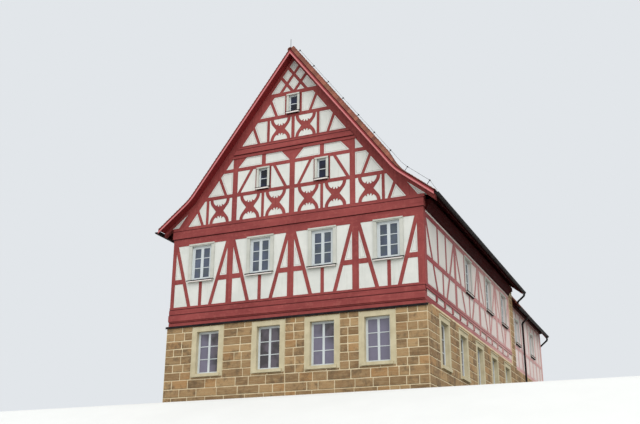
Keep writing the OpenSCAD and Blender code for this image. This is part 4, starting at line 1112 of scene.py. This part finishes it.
def ridge_caps():
    """Half-round caps that lap each other from the rear to the front."""
    low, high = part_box("ridge_tiles")
    caps = Pile()
    draw = random.Random(3)
    count = round((high.y - low.y) / RIDGE_CAP_L)
    length = (high.y - low.y) / count
    last = RIDGE_CAP_STEPS
    turns = [math.radians(-15 + 210 * i / last) for i in range(last + 1)]
    out0, in0, out1, in1 = (j * len(turns) for j in range(4))
    for k in range(count):
        y0, y1 = low.y + k * length, low.y + (k + 1) * length + (RIDGE_CAP_LAP if k < count - 1 else 0)
        points = []
        for y, r in zip((y0, y1), RIDGE_CAP_R):
            for radius in (r, r - RIDGE_CAP_T):
                points += [(radius * math.cos(a), y, high.z - 0.112 + radius * math.sin(a)) for a in turns]
        faces = []
        for i in range(last):
            j = i + 1
            faces += [[out0 + i, out0 + j, out1 + j, out1 + i], [in0 + i, in1 + i, in1 + j, in0 + j],
                      [out0 + i, in0 + i, in0 + j, out0 + j], [out1 + i, out1 + j, in1 + j, in1 + i]]
        faces += [[out0, out1, in1, in0], [out0 + last, in0 + last, in1 + last, out1 + last]]
        caps.add(points, faces, draw.random())
    caps.piece("ridge_caps", "tile", "tile", replaces=["ridge_tiles"])


def conductor(line):
    """Lightning conductor from the ridge down the right verge to the gutter, on tall holders."""
    wire = Pile()
    y = line.y0 + WIRE_IN
    stops = np.linspace(line.length - 0.2, 0.5, HOLDERS)
    way = []
    for a, b in zip(stops, stops[1:]):
        way += [a] + sorted((s for s in line.at if b < s < a), reverse=True)
    way = [(s, WIRE_H) for s in way] + [(stops[-1], WIRE_H), (0.0, 0.08)]
    for start, end in zip(way, way[1:]):
        rings = [line.point(s, h + t) for s, h in (start, end) for t in (-WIRE_HALF, WIRE_HALF)]
        wire.prism([rings[0], rings[1], rings[3], rings[2]], y - WIRE_HALF, y + WIRE_HALF)
    for s in stops:
        rod = (0.009, line.raised(y, s), WIRE_H + 0.03, 0.009)
        clip = (0.03, WIRE_H - 0.02, WIRE_H + 0.014, 0.02)
        for half, low, high, depth in (rod, clip):
            corners = [(-half, low), (-half, high), (half, high), (half, low)]
            wire.prism([line.point(s + u, h) for u, h in corners], y - depth, y + depth)
    wire.piece("lightning_conductor", "lead", "gutter")


def roofs():
    """The covering of all four slopes and of the main ridge."""
    main = [("right_roof", "roof_right", 1, True), ("left_roof", "roof_left", -1, True)]
    wing = [("wing_right_roof", "wing_roof_right", 1, False), ("wing_left_roof", "wing_roof_left", -1, False)]
    for name, node, side, flared in main + wing:
        line = roof_tiles(name, node, side, flared)
        roof_boards(name, line, side)
        if side == 1 and flared:
            verge_bed(line)
            conductor(line)
    ridge_caps()


# Ground, light and camera

def seen_ray(tree):
    """1 for rays that the camera, a reflection or glass sees, and 0 for the light between surfaces."""
    path = tree.nodes.new("ShaderNodeLightPath")
    seen = path.outputs["Is Camera Ray"]
    for other in ("Is Glossy Ray", "Is Transmission Ray"):
        larger = tree.nodes.new("ShaderNodeMath")
        larger.operation = "MAXIMUM"
        tree.links.new(seen, larger.inputs[0])
        tree.links.new(path.outputs[other], larger.inputs[1])
        seen = larger.outputs[0]
    return seen


def pale_ground():
    """Level ground that falls away in front of the house, as the hill does under the photographed one.

    It is pale where it is seen, and gives back the dull light of bushes.
    """
    crest = STONE_LO.y - 0.9
    bend_r = 3.0
    slope = math.radians(24)
    steps = 12
    reach, fall = 120.0, 34.0
    profile = [(crest + reach, 0.0), (crest, 0.0)]
    for i in range(1, steps + 1):
        a = slope * i / steps
        profile.append((crest - bend_r * math.sin(a), -bend_r * (1 - math.cos(a))))
    y, z = profile[-1]
    profile.append((y - fall, z - fall * math.tan(slope)))
    points = [(x, y, z - 0.001) for x in (-reach, reach) for y, z in profile]
    n = len(profile)
    faces = [[i, i + 1, i + 1 + n, i + n] for i in range(n - 1)]
    mesh = bpy.data.meshes.new("ground")
    mesh.from_pydata(points, [], faces)
    ground = bpy.data.objects.new("ground", mesh)
    bpy.context.scene.collection.objects.link(ground)
    s = Shader("pale_ground", 0.95)
    grain = s.noise(0.6, 2.0, 0.5)
    pale = s.mix(grain, rgb(226, 227, 224), rgb(218, 219, 216))
    s.color(s.mix(seen_ray(s.tree), rgb(104, 104, 92), pale))
    mesh.materials.append(s.material)


def sky():
    """Overcast sky: a pale backdrop where it is seen, and an even white light."""
    world = bpy.data.worlds.new("overcast")
    bpy.context.scene.world = world
    world.use_nodes = True
    tree = world.node_tree
    tree.nodes.clear()
    output = tree.nodes.new("ShaderNodeOutputWorld")
    seen = tree.nodes.new("ShaderNodeBackground")
    seen.inputs["Color"].default_value = rgb(226, 230, 234)
    light = tree.nodes.new("ShaderNodeBackground")
    light.inputs["Color"].default_value = (0.97, 0.985, 1.0, 1.0)
    light.inputs["Strength"].default_value = 1.0
    mix = tree.nodes.new("ShaderNodeMixShader")
    tree.links.new(seen_ray(tree), mix.inputs["Fac"])
    tree.links.new(light.outputs[0], mix.inputs[1])
    tree.links.new(seen.outputs[0], mix.inputs[2])
    tree.links.new(mix.outputs[0], output.inputs["Surface"])


def soft_sun():
    """A wide, weak sun from the front and the right."""
    lamp = bpy.data.lights.new("soft_sun", "SUN")
    lamp.energy = 1.5
    lamp.angle = math.radians(50)
    sun = bpy.data.objects.new("soft_sun", lamp)
    sun.rotation_euler = (math.radians(48), 0, math.radians(40))
    bpy.context.scene.collection.objects.link(sun)


def photo_camera():
    """The photograph's camera, solved from the straight timbers of the front and the right side."""
    yaw, pitch, roll = math.radians(23.945), math.radians(19.702), math.radians(0.352)
    forward = Vector((-math.sin(yaw) * math.cos(pitch), math.cos(yaw) * math.cos(pitch), math.sin(pitch)))
    level = Vector((math.cos(yaw), math.sin(yaw), 0))
    above = level.cross(forward)
    right = math.cos(roll) * level + math.sin(roll) * above
    up = -math.sin(roll) * level + math.cos(roll) * above
    data = bpy.data.cameras.new("camera")
    data.sensor_fit = "HORIZONTAL"
    data.sensor_width = 36.0
    data.lens = 48.828
    data.clip_end = 500.0
    camera = bpy.data.objects.new("camera", data)
    turn = Matrix((right, up, -forward)).transposed()
    place = Vector((14.404, FRONT_Y - 29.6, -4.306))
    camera.matrix_world = Matrix.Translation(place) @ turn.to_4x4()
    bpy.context.scene.collection.objects.link(camera)
    bpy.context.scene.camera = camera


photo_camera()
sky()
soft_sun()
pale_ground()
dress_nodes()
stone_facing()
glazing_bars()
panel_lines()
lead_drip()
sills()
casing_edges()
friezes()
gutter_fittings()
roofs()
bpy.context.scene.view_settings.view_transform = "Standard"
